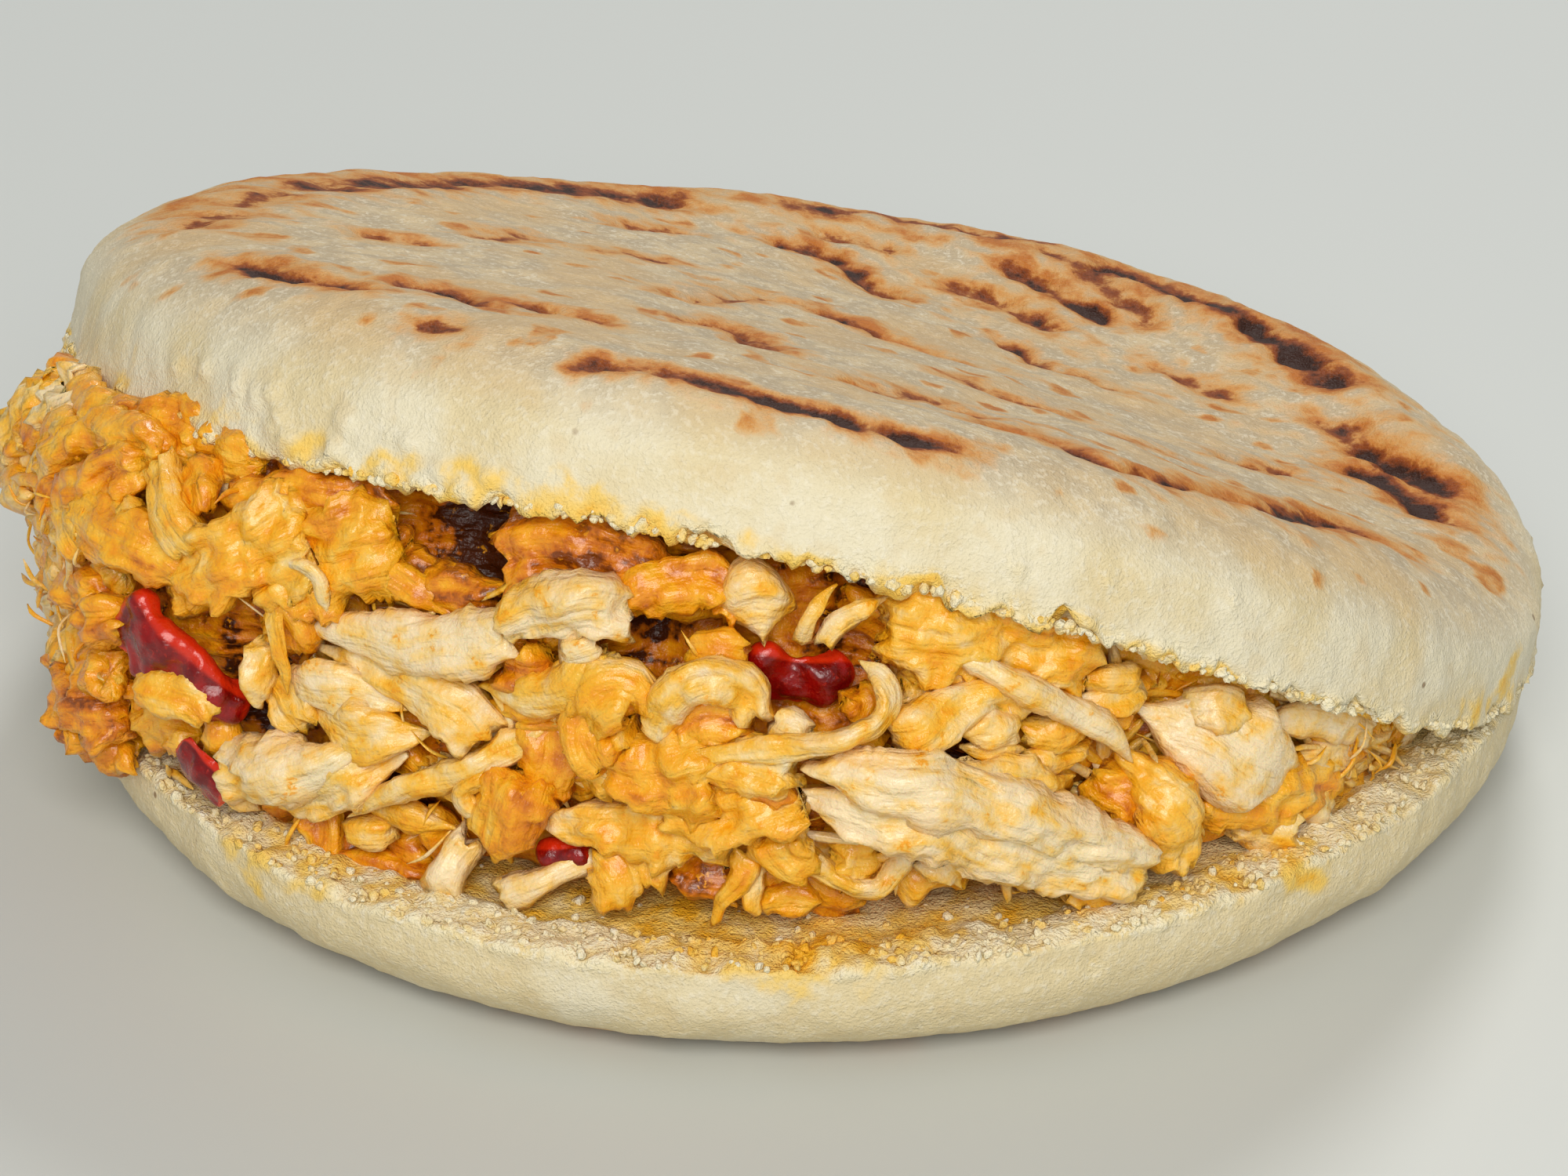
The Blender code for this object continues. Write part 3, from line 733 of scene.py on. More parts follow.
def make_lid(material):
    top, shoulder, side, rim, inside = 0, 1, 2, 3, 4
    rows = []
    for r in np.concatenate([np.arange(1.0, 22, 0.66), np.arange(22.0, 45.2, 0.57)]):
        rows.append((count_at(r), r, 1.0, top))
    rise = SHOULDER_RISE / LID_HEIGHT
    for k in range(1, 23):
        a = k / 22 * math.pi / 2
        rows.append((TURN, 45.2 + SHOULDER_REACH * math.sin(a), 1 - rise * (1 - math.cos(a)), shoulder))
    for k in range(1, 14):
        rows.append((TURN, 55.0, (1 - rise) * (1 - (k / 14) ** 0.8) + 0.0001, side))
    for r in np.concatenate([np.arange(54.7, 50.0, -0.4), np.arange(49.4, 32, -1.6)]):
        rows.append((TURN, r, 0.0, inside))
    for r in np.arange(31, 3, -2.0):
        rows.append((TURN // 2 if r > 12 else TURN // 4, r, 0.0, inside))
    faces = turned(rows, True)
    data = spread(rows)
    x, y, share = data[:, 0], data[:, 1], data[:, 2]
    r, t = np.hypot(x, y), np.arctan2(y, x)
    low, high = lid_cut(x, y), lid_top(x, y)
    reach = lid_reach(t)
    level = low + (high - low) * share
    still = np.stack([x * reach, y * reach, BASE_HEIGHT + level], -1)
    points = np.stack(open_lid(x * reach, y * reach, level), -1)
    normals = corner_normals(points, faces)
    u, _ = hinge_coords(x, y)
    joined = smooth((u - 24) / 10)

    on_top = smooth((share - 0.5) / 0.38)
    skin = np.where(share > 0.001, 1.0, 0.0)
    ridge, char, toast = wrinkles(x, y, RIDGES, 3)
    ridge, char, toast = ridge * on_top, char * on_top, toast * on_top
    # browner round the far rim, and broad toasting where the wrinkles crowd
    far_rim_brown = smooth((r - 40) / 6) * smooth((54.5 - r) / 4) * smooth((np.sin(t - 0.2) + 0.35) / 0.9)
    crowd = smooth((u - 8) / 26) * (0.5 + 0.5 * noise(still, 11, 5))
    toast = np.maximum(toast, on_top * 0.82 * far_rim_brown * (0.7 + 0.6 * noise(still, 6, 6)))
    toast = np.maximum(toast, on_top * 0.4 * crowd)
    toast = np.maximum(toast, on_top * 0.3 * smooth(noise(still, 8, 8) - 0.05))
    toast = np.maximum(toast, on_top * 0.62 * smooth((noise(still, 3.6, 9) - 0.36) / 0.22))

    move = on_top * (
        ridge
        + 0.30 * noise(still, 13, 21)
        + 0.26 * noise(still, (5.5, 4.0, 5.0), 22)
        + 0.14 * noise(still, 2.2, 23)
        + 0.06 * noise(still, 1.0, 24)
    )
    # a shallow valley between the flat of the face and its right rim
    valley, _, _ = distance_to(np.stack([x, y], -1), [(34.6, 32.1), (42, 21.8), (46.1, 9.4), (48.5, 4.8)])
    move -= on_top * 0.9 * np.exp(-((valley / 3.2) ** 2))
    flank = skin * (1 - on_top)
    move += flank * (0.24 * noise(still, 9, 31) + 0.16 * noise(still, 2.8, 32) + 0.09 * noise(still, 1.1, 33))

    # the torn edge, and the crumb inside
    height_over = level - low
    from_edge = np.where(share > 0.001, height_over, np.maximum(54.9 - r, 0) * 0.5)
    front = np.exp(-(((t + math.radians(78)) / 0.16) ** 2))
    tear = 1.5 + 0.9 * noise(still * (1, 1, 0), 4.0, 41) + 1.2 * front
    ragged = (1 - smooth(from_edge / np.maximum(tear, 0.5))) * (1 - joined)
    inner = np.where(share > 0.001, 0.0, 1.0)
    crumb = np.maximum(ragged, inner)
    big, small = grains(still, 2.1, 51), grains(still, 1.05, 52)
    move += crumb * (0.9 * big + 0.75 * small - 0.6) * np.where(inner > 0, 0.75, 1.0)
    move += ragged * 0.35 * noise(still, 3.2, 53)
    # painted shade in the crevices between the crumb's grains
    pit_shade = np.clip(1 - 1.6 * np.maximum(big, small), 0, 1) * crumb
    # teeth along the edge: crumbs have come away
    edge = 1 - smooth(np.where(share > 0.001, height_over, (54.9 - r) * 0.45) / 2.6)
    bite = 0.5 * noise(still * (1, 1, 0), 1.1, 61) + 0.6 * noise(still * (1, 1, 0), 2.3, 62)
    bite = bite + 0.4 * noise(still * (1, 1, 0), 5.0, 64) + 1.5 * front * noise(still * (1, 1, 0), 2.6, 63)
    lift = edge * (1 - joined) * np.clip(1.6 * bite, -1.1, 2.3)
    points = points + normals * move[:, None]
    points[:, 2] += lift * 0.9
    hole = away(points, [(spot, size, 1.0) for spot, size in PITS])
    hole = hole * (0.8 + 0.5 * noise(still, 0.9, 71))
    scattered = smooth((noise(still, 2.4, 72) - 0.62) / 0.25) * flank * (1 - smooth((height_over - 5.5) / 1.5))
    points -= normals * (0.8 * hole + 0.5 * scattered)[:, None]
    stain = away(points, STAINS)
    oily = smooth((np.cos(t + math.radians(118)) - 0.1) / 0.5) * (0.6 + 0.5 * noise(still, 5, 82))
    stain = np.maximum(stain * 0.75, oily * (1 - smooth(from_edge / 1.3)) * (1 - joined) * 0.8)
    stain = np.maximum(stain, inner * (0.35 + 0.35 * noise(still, 7, 81)))
    return make_mesh(
        "cake_lid",
        points,
        faces,
        material,
        {
            "top": on_top * (1 - 0.2 * smooth((r - 49) / 4)),
            "char": char,
            "toast": toast,
            "crumb": np.clip(crumb + 0.6 * scattered, 0, 1),
            "stain": stain,
            "moist": inner * 0.3,
            # painted shade in the crevices, in the pits and in the small holes of the side
            "pit_shade": np.clip(pit_shade + hole * 0.9 + scattered * 0.6, 0, 1),
            "broad": 0.5 + 0.5 * fbm(still, 9, 91, 2),
            "mid": 0.5 + 0.5 * fbm(still, 2.2, 95, 3),
        },
    )


GRAIN_POINTS, GRAIN_FACES = None, None


def grain_form():
    """A ball of 42 points and 80 faces, to be made into crumbs."""
    global GRAIN_POINTS, GRAIN_FACES
    if GRAIN_POINTS is None:
        import bmesh

        bm = bmesh.new()
        bmesh.ops.create_icosphere(bm, subdivisions=2, radius=1.0)
        GRAIN_POINTS = np.array([v.co for v in bm.verts])
        GRAIN_FACES = np.array([[v.index for v in f.verts] for f in bm.faces])
        bm.free()
    return GRAIN_POINTS, GRAIN_FACES


def make_crumbs(name, material, spots, sizes, stains, seed):
    """Crumbs of dough, each an uneven lump, stuck where the cake tore."""
    form, form_faces = grain_form()
    rng = np.random.default_rng(seed)
    n, m = len(spots), len(form)
    squash = rng.uniform(0.6, 1.3, (n, 1, 3))
    turns = rng.normal(size=(n, 3, 3))
    turns = np.linalg.qr(turns)[0]
    local = (form[None] * squash) @ turns
    flat = (form[None] + np.arange(n)[:, None, None] * 3.7).reshape(-1, 3)
    lumpy = 1 + 0.42 * noise(flat, 0.9, seed).reshape(n, m) + 0.2 * noise(flat, 0.45, seed + 1).reshape(n, m)
    points = (spots[:, None] + local * lumpy[..., None] * sizes[:, None, None]).reshape(-1, 3)
    mirrored = np.linalg.det(turns) < 0
    faces = form_faces[None] + (np.arange(n) * m)[:, None, None]
    faces[mirrored] = faces[mirrored][:, :, ::-1]
    one, zero = np.ones(n * m), np.zeros(n * m)
    return make_mesh(
        name,
        points,
        [faces.reshape(-1, 3)],
        material,
        {
            "top": zero, "char": zero, "toast": zero, "crumb": one, "stain": np.repeat(stains, m),
            "moist": zero, "pit_shade": zero, "broad": 0.5 * one, "mid": 0.5 + 0.5 * noise(points, 1.4, seed + 2),
        },
    )


def edge_crumbs(material):
    """Crumbs along the torn edges of both halves and loose on the ledge."""
    rng = np.random.default_rng(77)
    spots, sizes, stains = [], [], []
    # along the lid's edge
    for _ in range(1000):
        t = rng.uniform(math.radians(-222), math.radians(8))
        r = 54.9 - abs(rng.normal(0, 0.7))
        x, y = r * math.cos(t), r * math.sin(t)
        u, _ = hinge_coords(x, y)
        if u > 26:
            continue
        reach = lid_reach(np.array(t))
        h = float(lid_cut(x, y)) + rng.uniform(0.0, 0.45)
        p = np.array(open_lid(x * reach, y * reach, h), float)
        spots.append(p)
        sizes.append(rng.uniform(0.18, 0.46))
        oily = max(0.0, math.cos(t + math.radians(118)))
        stains.append(rng.uniform(0, 0.75) * oily)
    # along the lower half's edge and on its ledge
    for _ in range(1000):
        t = rng.uniform(math.radians(-222), math.radians(8))
        r = rng.uniform(51.2, 54.9) if rng.random() < 0.8 else rng.uniform(46, 51.2)
        x, y = r * math.cos(t), r * math.sin(t)
        u, _ = hinge_coords(x, y)
        if u > 28:
            continue
        k = float(outline(np.array(t)))
        x, y = x * k, y * k
        sunk = 0.6 if r < 51 else 0.05
        size = rng.uniform(0.16, 0.4)
        spots.append(np.array([x, y, float(base_cut(x, y)) - sunk + rng.uniform(-0.3, 0.2) * size]))
        sizes.append(size)
        near = away(spots[-1][None], STAINS)[0]
        stains.append(near + rng.uniform(-0.2, 0.2))
    return make_crumbs("dough_crumbs", material, np.array(spots), np.array(sizes), np.clip(stains, 0, 1), 81)


def shape_base(x, y, z):
    t = np.arctan2(y, x)
    lift = (base_cut(x, y) - BASE_HEIGHT) * smooth(z / BASE_HEIGHT)
    return np.stack([x * outline(t), y * outline(t), z + lift], -1)


def make_base(material):
    rows = []
    for r in np.concatenate([np.arange(7.0, 22, 1.1), np.arange(23.0, 47, 0.9)]):
        rows.append((count_at(r), r, 0.0, 0.0))
    # the flat underside turns up towards the foot
    rows = [(n, r, (max(r - FLAT_RADIUS, 0) / 7) ** 2 * 0.12, 0.0) for n, r, *_ in rows]
    for k in range(0, 20):
        a = k / 20 * math.pi / 2
        rows.append((TURN, 47 + 8 * math.sin(a), 0.12 + (FOOT_ROUND - 0.12) * (1 - math.cos(a)), 0.0))
    for z in np.arange(FOOT_ROUND, BASE_HEIGHT - 0.3, 0.3):
        rows.append((TURN, 55.0, z, 0.0))
    rows.append((TURN, 54.8, BASE_HEIGHT - 0.12, 0.0))
    for r in np.concatenate([np.arange(54.5, 38, -0.45), np.arange(37.2, 23, -1.0)]):
        rows.append((TURN, r, BASE_HEIGHT, 1.0))
    for r in np.arange(22.0, 3, -1.6):
        rows.append((count_at(r), r, BASE_HEIGHT, 1.0))
    faces = turned(rows, True)
    data = spread(rows)
    x, y, z, cut = data.T
    r, t = np.hypot(x, y), np.arctan2(y, x)
    points = shape_base(x, y, z)
    still = points.copy()
    normals = corner_normals(points, faces)
    u, _ = hinge_coords(x, y)
    joined = smooth((u - 24) / 10)
    under = (1 - smooth((z - 0.3) / 2.4)) * (1 - cut)
    ridge, char, toast = wrinkles(x, y, BASE_MARKS, 9)
    ridge, char, toast = ridge * under, char * under, toast * under
    toast = np.maximum(toast, under * (0.3 + 0.4 * noise(still, 9, 101)))
    flank = (1 - cut) * (1 - under)
    move = flank * (0.24 * noise(still, 9, 31) + 0.16 * noise(still, 2.8, 32) + 0.09 * noise(still, 1.1, 33))
    from_edge = np.where(cut > 0.5, np.maximum(54.9 - r, 0) * 0.6, np.maximum(base_cut(x, y) - points[:, 2], 0))
    tear = 0.9 + 0.5 * noise(still * (1, 1, 0), 4.0, 111)
    ragged = (1 - smooth(from_edge / tear)) * (1 - joined)
    crumb = np.maximum(ragged, cut)
    big, small = grains(still, 1.9, 121), grains(still, 0.95, 122)
    wet = cut * smooth((51.2 - r + 1.2 * noise(still, 3.0, 131)) / 1.2)
    move += crumb * (0.6 * big + 0.4 * small - 0.4) * (1 - 0.55 * wet)
    move += cut * 0.3 * noise(still, 6.5, 123)
    # the dry rim stands a little over the pressed, wet middle
    move -= wet * 0.55
    edge = 1 - smooth(from_edge / 1.6)
    nick = 0.35 * noise(still * (1, 1, 0), 1.6, 141) + 0.3 * noise(still * (1, 1, 0), 3.4, 142)
    points = points + normals * move[:, None]
    points[:, 2] += edge * (1 - joined) * (nick - 0.15) * (z > 5)
    scattered = smooth((noise(still, 2.2, 143) - 0.62) / 0.25) * flank * smooth((z - 2.5) / 2)
    points -= normals * (0.3 * scattered)[:, None]
    points[:, 2] = np.maximum(points[:, 2], 0.02 * (1 + noise(still, 1.5, 144)))
    stain = away(points, STAINS)
    stain = np.maximum(stain, wet * np.clip(0.42 + 0.5 * noise(still, 5, 151), 0, 1))
    # painted shade in the crevices between the crumb's grains
    pit_shade = np.clip(1 - 1.6 * np.maximum(big, small), 0, 1) * crumb
    return make_mesh(
        "cake_base",
        points,
        faces,
        material,
        {
            "top": under,
            "char": char,
            "toast": toast,
            "crumb": np.clip(crumb + 0.5 * scattered, 0, 1),
            "stain": stain,
            "moist": wet,
            "pit_shade": np.clip(pit_shade * (1 - 0.5 * wet) + scattered * 0.5, 0, 1),
            # painted shade: + 0.3 * flank makes the base's sides more tan than the lid's, for their darker,
            # downward-facing look
            "broad": 0.5 + 0.5 * fbm(still, 9, 91, 2) + 0.3 * flank,
            "mid": 0.5 + 0.5 * fbm(still, 2.2, 95, 3),
        },
    )


# ------------------------------------------------------------------ the chicken
KEYS = ("tone", "low", "rim")


class Heap:
    """Collects strips of meat, shapes them all at once and makes them one mesh."""

    def __init__(self):
        self.rows, self.faces, self.flats, self.count = [], [], [], 0

    def add(self, flat, faces, **values):
        """flat holds, for each point: the middle line (3), the tangent (3), the normal (3), the
        distance along, the place across -1 to 1, half the width, the place in the section and
        its half thickness, and how near each end is."""
        n = len(flat)
        self.flats.append(flat)
        self.faces.append(faces + self.count)
        self.rows.append(np.tile([values[k] for k in ("fibre", "rough", "ruffle", "tone", "seed", "slab", "split")], (n, 1)))
        self.count += n

    def build(self, name, material):
        flat, rows, faces = np.vstack(self.flats), np.vstack(self.rows), np.vstack(self.faces)
        spine, tangent, normal = flat[:, 0:3], flat[:, 3:6], flat[:, 6:9]
        s, A, w, up, h, near0, near1, cup = flat[:, 9:17].T
        fibre, rough, ruffle, tone, seed, slab, split = rows.T
        binormal = np.cross(tangent, normal)
        off = seed * 3.717
        side = np.sign(A) * 20
        # torn edges, a different tear on each side
        torn = np.stack([s, side + off, off], -1)
        edge = 0.22 * noise(torn, 2.3, 1) + 0.16 * noise(torn, 0.95, 2) + 0.10 * noise(torn, 0.45, 3)
        a = A * (1 + edge * np.abs(A) * (0.6 + 0.8 * rough)) * w
        u = np.sign(up) * h * np.maximum(1 - np.abs(A) ** slab, 0) ** 0.5 * np.abs(up)
        body = np.stack([s, a, off], -1)
        fold = 1.25 * noise(body, (3.4, 2.4, 1), 4) + 0.7 * noise(body, (1.5, 1.25, 1), 5)
        fold = ruffle * fold + cup * w * (A**2 - 0.4)
        deep = np.stack([s, a, u * 0.8 + off], -1)
        size = np.minimum(np.minimum(h * 2, w * 2), 2.0)
        fine = 1 - 2.2 * np.abs(noise(deep, (7.0, 0.5, 0.9), 6))
        broad = 1 - 2.2 * np.abs(noise(deep, (9.0, 1.15, 1.6), 7))
        crease = 1 - 2.4 * np.abs(noise(deep, (1.9, 1.6, 1.6), 8))
        lumps = noise(deep, (1.3, 1.1, 1.1), 9)
        pulp = grains(deep, 0.85, 10) - 0.3
        relief = fibre * (0.16 * fine + 0.2 * broad) - 0.10 * fibre
        relief = relief + rough * (0.22 * crease + 0.20 * lumps + 0.34 * pulp) + 0.05 * lumps
        # fibres part from each other
        gap = smooth((noise(deep, (6.0, 1.0, 3.0), 12) - 0.42) / 0.2) * split
        relief = relief * size - 0.55 * gap * np.minimum(h, 1.2)
        radial = (a / np.maximum(w, 0.05))[:, None] ** 3 * binormal * 0.6 + up[:, None] * normal
        radial = radial / np.maximum(np.linalg.norm(radial, axis=1), 1e-6)[:, None]
        cut = noise(np.stack([a, u * 0.7, off], -1), 0.62, 13) + 0.6 * noise(np.stack([a, u * 0.3, off + 9], -1), 1.5, 14)
        cut1 = noise(np.stack([a, u * 0.7, off + 31], -1), 0.62, 15) + 0.6 * noise(np.stack([a, u * 0.3, off + 37], -1), 1.5, 16)
        slide = -near0 * cut + near1 * cut1
        points = (
            spine
            + a[:, None] * binormal
            + (u + fold)[:, None] * normal
            + relief[:, None] * radial
            + slide[:, None] * tangent
        )
        shade = tone + 0.17 * noise(body, (4.5, 1.6, 1), 17) + 0.07 * noise(body, (5.0, 0.5, 1), 18)
        # low rises in crevices and in the gaps between fibres: it darkens the colour there, partly as pooled sauce,
        # partly as painted shade
        low = np.clip(-1.3 * relief / np.maximum(size, 0.3) + 0.5 * gap, -0.4, 1.1)
        piece = make_mesh(name, points, [faces], material, {"tone": shade, "low": low, "rim": np.abs(A) ** 3})
        layer = piece.data.attributes.new("lie", "FLOAT_VECTOR", "POINT")
        lie = np.stack([s * 0.14, a + (off % 31), u + off % 17], -1) * MM
        layer.data.foreach_set("vector", lie.astype(np.float32).ravel())
        return piece


def shred(
    heap, line, widths, thick, outward, face=0.0, tone=0.4, fibre=0.4, rough=0.3,
    ends="bb", seed=0, step=0.34, ruffle=0.3, slab=5.0, split=0.5, grid=0.36,
):
    """One strip of meat along a line of points. widths are at those points, `outward` is the
    way its broad side faces, `ends` says t (tapered) or b (broken) for each end."""
    rng = np.random.default_rng(seed)
    spine, share, at = curve_through(line, step)
    n = len(spine)
    tangent = np.gradient(spine, axis=0)
    tangent /= np.maximum(np.linalg.norm(tangent, axis=1), 1e-9)[:, None]
    outward = np.broadcast_to(np.asarray(outward, float), spine.shape)
    normal = outward - (outward * tangent).sum(1)[:, None] * tangent
    normal /= np.maximum(np.linalg.norm(normal, axis=1), 1e-9)[:, None]
    binormal = np.cross(tangent, normal)
    phase = rng.uniform(0, 6.28, 3)
    twist = np.radians(face) + 0.25 * np.sin(at / 2.9 + phase[0]) + 0.12 * np.sin(at / 1.1 + phase[1])
    c, s = np.cos(twist)[:, None], np.sin(twist)[:, None]
    normal = normal * c + binormal * s
    width = np.interp(share, np.arange(len(widths)), widths) * (1 + 0.1 * np.sin(at / 0.9 + phase[2]))
    mean = float(np.mean(widths))
    total = at[-1]
    depth = np.full(n, float(thick)) * (1 + 0.12 * np.sin(at / 1.3 + phase[1]))
    for k, end in enumerate(ends):
        d = at if k == 0 else total - at
        if end == "t":
            fade = np.clip(d / min(total * 0.45, 1.4 * mean + 0.6), 0, 1)
            width = width * (0.10 + 0.90 * fade**0.8)
            depth = depth * (0.25 + 0.75 * smooth(fade))
        else:
            fade = np.clip(d / min(total * 0.3, 0.7), 0, 1)
            depth = depth * (0.35 + 0.65 * np.sqrt(fade))
    m = int(np.clip(math.ceil(mean / grid), 3, 26))
    # points across the top and back across the underside
    edge = -np.cos(np.linspace(0, math.pi, m + 1))
    even = np.linspace(-1, 1, m + 1)
    across = 0.45 * edge + 0.55 * even
    A = np.concatenate([across[::-1], across[1:-1]])
    up = np.concatenate([np.ones(m + 1), -np.ones(m - 1)])
    around = len(A)
    span0 = max(0.7, min(1.8, total * 0.3))
    near0 = np.clip(1 - at / span0, 0, 1) * (1.0 if ends[0] == "b" else 0.15) * min(1.0, mean / 2.4)
    near1 = np.clip(1 - (total - at) / span0, 0, 1) * (1.0 if ends[1] == "b" else 0.15) * min(1.0, mean / 2.4)
    cup = rng.uniform(-0.35, 0.2)
    flat = np.zeros((n, around, 17))
    flat[:, :, 0:3] = spine[:, None]
    flat[:, :, 3:6] = tangent[:, None]
    flat[:, :, 6:9] = normal[:, None]
    flat[:, :, 9] = at[:, None]
    flat[:, :, 10] = A[None]
    flat[:, :, 11] = (width / 2)[:, None]
    flat[:, :, 12] = up[None]
    flat[:, :, 13] = (depth / 2)[:, None]
    flat[:, :, 14] = near0[:, None]
    flat[:, :, 15] = near1[:, None]
    flat[:, :, 16] = cup
    caps = flat[[0, -1], 0].copy()
    caps[:, 10] = 0
    caps[:, 12] = 0
    flat = np.vstack([flat.reshape(-1, 17), caps])
    i = np.arange(n - 1)[:, None] * around
    j = np.arange(around)[None, :]
    k = (j + 1) % around
    a0, a1, b0, b1 = i + j, i + k, i + around + j, i + around + k
    faces = np.concatenate([np.stack([a0, b1, a1], -1).reshape(-1, 3), np.stack([a0, b0, b1], -1).reshape(-1, 3)])
    j, k, last = j.ravel(), k.ravel(), (n - 1) * around
    faces = np.vstack(
        [
            faces,
            np.stack([np.full(around, n * around), j, k], -1),
            np.stack([np.full(around, n * around + 1), last + k, last + j], -1),
        ]
    )
    heap.add(flat, faces, fibre=fibre, rough=rough, ruffle=ruffle, tone=tone, seed=seed % 61, slab=slab, split=split)


def make_core(material):
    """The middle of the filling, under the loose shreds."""
    turns, sides = 420, 64
    t = np.arange(turns) * 2 * math.pi / turns
    grid = np.array([heap_point(t, np.full(turns, 0.02 + 0.96 * k / sides), -2.5) for k in range(sides + 1)])
    still = grid.reshape(-1, 3)
    out = still - np.array([HEAP_CENTRE[0], HEAP_CENTRE[1], 0.0])
    out[:, 2] = 0
    out /= np.linalg.norm(out, axis=1)[:, None]
    bumps = 1.4 * noise(still, 7.0, 201) + 1.0 * noise(still, 3.2, 202) + 0.5 * grains(still, 2.0, 203)
    bumps = bumps + 0.5 * (1 - 2.2 * np.abs(noise(still, (4, 4, 1.2), 204)))
    for spot, size in HOLLOWS:
        bumps = bumps - 3.6 * np.exp(-(((still - np.array(spot)) ** 2).sum(1) / (size + 1.5) ** 2))
    moved = still + out * bumps[:, None]
    caps = np.array([[*HEAP_CENTRE, grid[0, :, 2].mean()], [*HEAP_CENTRE, grid[-1, :, 2].mean()]])
    points = np.vstack([moved, caps])
    i = np.arange(sides)[:, None] * turns
    j = np.arange(turns)[None, :]
    k = (j + 1) % turns
    quads = np.stack([i + j, i + k, i + turns + k, i + turns + j], -1).reshape(-1, 4)
    j, k, last = j.ravel(), k.ravel(), sides * turns
    tris = np.vstack(
        [
            np.stack([np.full(turns, len(moved)), k, j], -1),
            np.stack([np.full(turns, len(moved) + 1), last + j, last + k], -1),
        ]
    )
    # painted shade: the core's tone sits near 0.8, a deep orange-brown standing for the dark gaps between the shreds,
    # and low and tone rise further in the hollows
    low = np.append(np.clip(-bumps / 2.5, -0.3, 1), [0, 0])
    shade = away(still, [(spot, size + 1.0, 1.0) for spot, size in HOLLOWS])
    low[: len(shade)] = np.maximum(low[: len(shade)], shade)
    tone = np.append(0.8 + 0.2 * noise(still, 4.5, 205) + 0.4 * shade, [0.8, 0.8])
    piece = make_mesh("chicken_core", points, [quads, tris], material, {"tone": tone, "low": low, "rim": low * 0})
    layer = piece.data.attributes.new("lie", "FLOAT_VECTOR", "POINT")
    layer.data.foreach_set("vector", (points * (0.3, 0.3, 1) * MM).astype(np.float32).ravel())
    return piece


# hollows between the shreds, where nothing lies near the surface and the core is sunk and painted dark as shade:
# middle and radius
HOLLOWS = [
    ((-22.0, -42.5, 34.5), 4.2), ((-10.0, -48.5, 28.6), 2.6), ((10.5, -49.5, 20.6), 2.0),
    ((21.6, -46.2, 16.2), 1.5), ((-14.6, -48.6, 19.4), 1.8), ((-36.5, -36.0, 17.5), 2.2),
    ((30.5, -41.0, 21.0), 2.2), ((-27.0, -42.5, 12.0), 1.8),
]
# nothing laid at random may hide the pepper
KEPT_CLEAR = [((-42.3, -36.4, 20.6), 6.4), ((-40.9, -37.2, 12.7), 3.8), ((0.5, -48.4, 27.0), 4.8), ((-15.0, -47.4, 12.3), 3.0)]


def covered(p, size=0.0):
    return any(np.linalg.norm(p - np.array(c)) < r + size for c, r in HOLLOWS + KEPT_CLEAR)


# the heap's surface as a table over angle and height, for laying shreds along it
TABLE_T = np.linspace(-2 * math.pi, math.pi, 541)
TABLE_S = np.linspace(0, 1, 41)
TABLE = np.array([heap_point(TABLE_T, np.full(len(TABLE_T), s)) for s in TABLE_S])
TABLE_DT = np.gradient(TABLE, TABLE_T, axis=1)
TABLE_DS = np.gradient(TABLE, TABLE_S, axis=0)


def surface_frame(t, side):
    """Position, outward way, and the lengths of a step in t and in side at (t, side)."""
    i = int(np.clip(round((t - TABLE_T[0]) / (TABLE_T[1] - TABLE_T[0])), 0, len(TABLE_T) - 1))
    k = side * 40
    j = int(np.clip(k, 0, 39))
    f = k - j
    p = TABLE[j, i] * (1 - f) + TABLE[j + 1, i] * f
    dt, ds = TABLE_DT[j, i], TABLE_DS[j, i]
    p = p + dt * (t - TABLE_T[i])
    out = np.cross(dt, ds)
    out /= max(np.linalg.norm(out), 1e-9)
    return p, out, np.linalg.norm(dt), np.linalg.norm(ds)


def loose_shreds(
    heap, rng, count, turn_range, sides, lengths, widths, tones, offsets, roughs,
    tilt=0.55, skip=None, thin=(0.3, 0.6), ruffles=(0.1, 0.6), step=0.5,
):
    """Shreds laid at random over the heap, hugging it, with their ends lifting."""
    for _ in range(count):
        t, s = rng.uniform(*turn_range), rng.uniform(*sides)
        heading, turn = rng.normal(0, tilt), rng.normal(0, 0.07)
        length, base_off = rng.uniform(*lengths), rng.uniform(*offsets)
        lift = rng.uniform(0, 1.1, 2)
        seed = int(rng.integers(1, 10**6))
        w = rng.uniform(*widths)
        thick = w * rng.uniform(*thin) + 0.25
        tone, rough = rng.uniform(*tones), rng.uniform(*roughs)
        ends = str(rng.choice(["bb", "bt", "tb", "tt"]))
        ruffle, face, fibre = rng.uniform(*ruffles), rng.normal(0, 25), rng.uniform(0.2, 1.0)
        slab = rng.uniform(2.5, 6)
        points, out0, steps = [], None, 5
        for k in range(steps):
            p, out, per_t, per_s = surface_frame(t, s)
            u = k / (steps - 1)
            points.append(p + out * (base_off + lift[0] * (1 - u) ** 3 + lift[1] * u**3))
            if k == steps // 2:
                out0 = out
            d = length / (steps - 1)
            heading += turn * d
            t += d * math.cos(heading) / max(per_t, 5)
            s = float(np.clip(s + d * math.sin(heading) / max(per_s, 3), 0.03, 0.97))
        if skip is not None and skip(points[steps // 2]):
            continue
        if any(covered(q, 0.3 * w) for q in points[::2]):
            continue
        shape = list(np.array([0.8, 1.0, 1.05, 0.95, 0.75]) * w)
        shred(
            heap, points, shape, thick, out0, face=face, tone=tone, fibre=fibre, rough=rough,
            ends=ends, seed=seed, step=step, ruffle=ruffle * min(1, w / 2.5), slab=slab, split=0.6, grid=step,
        )


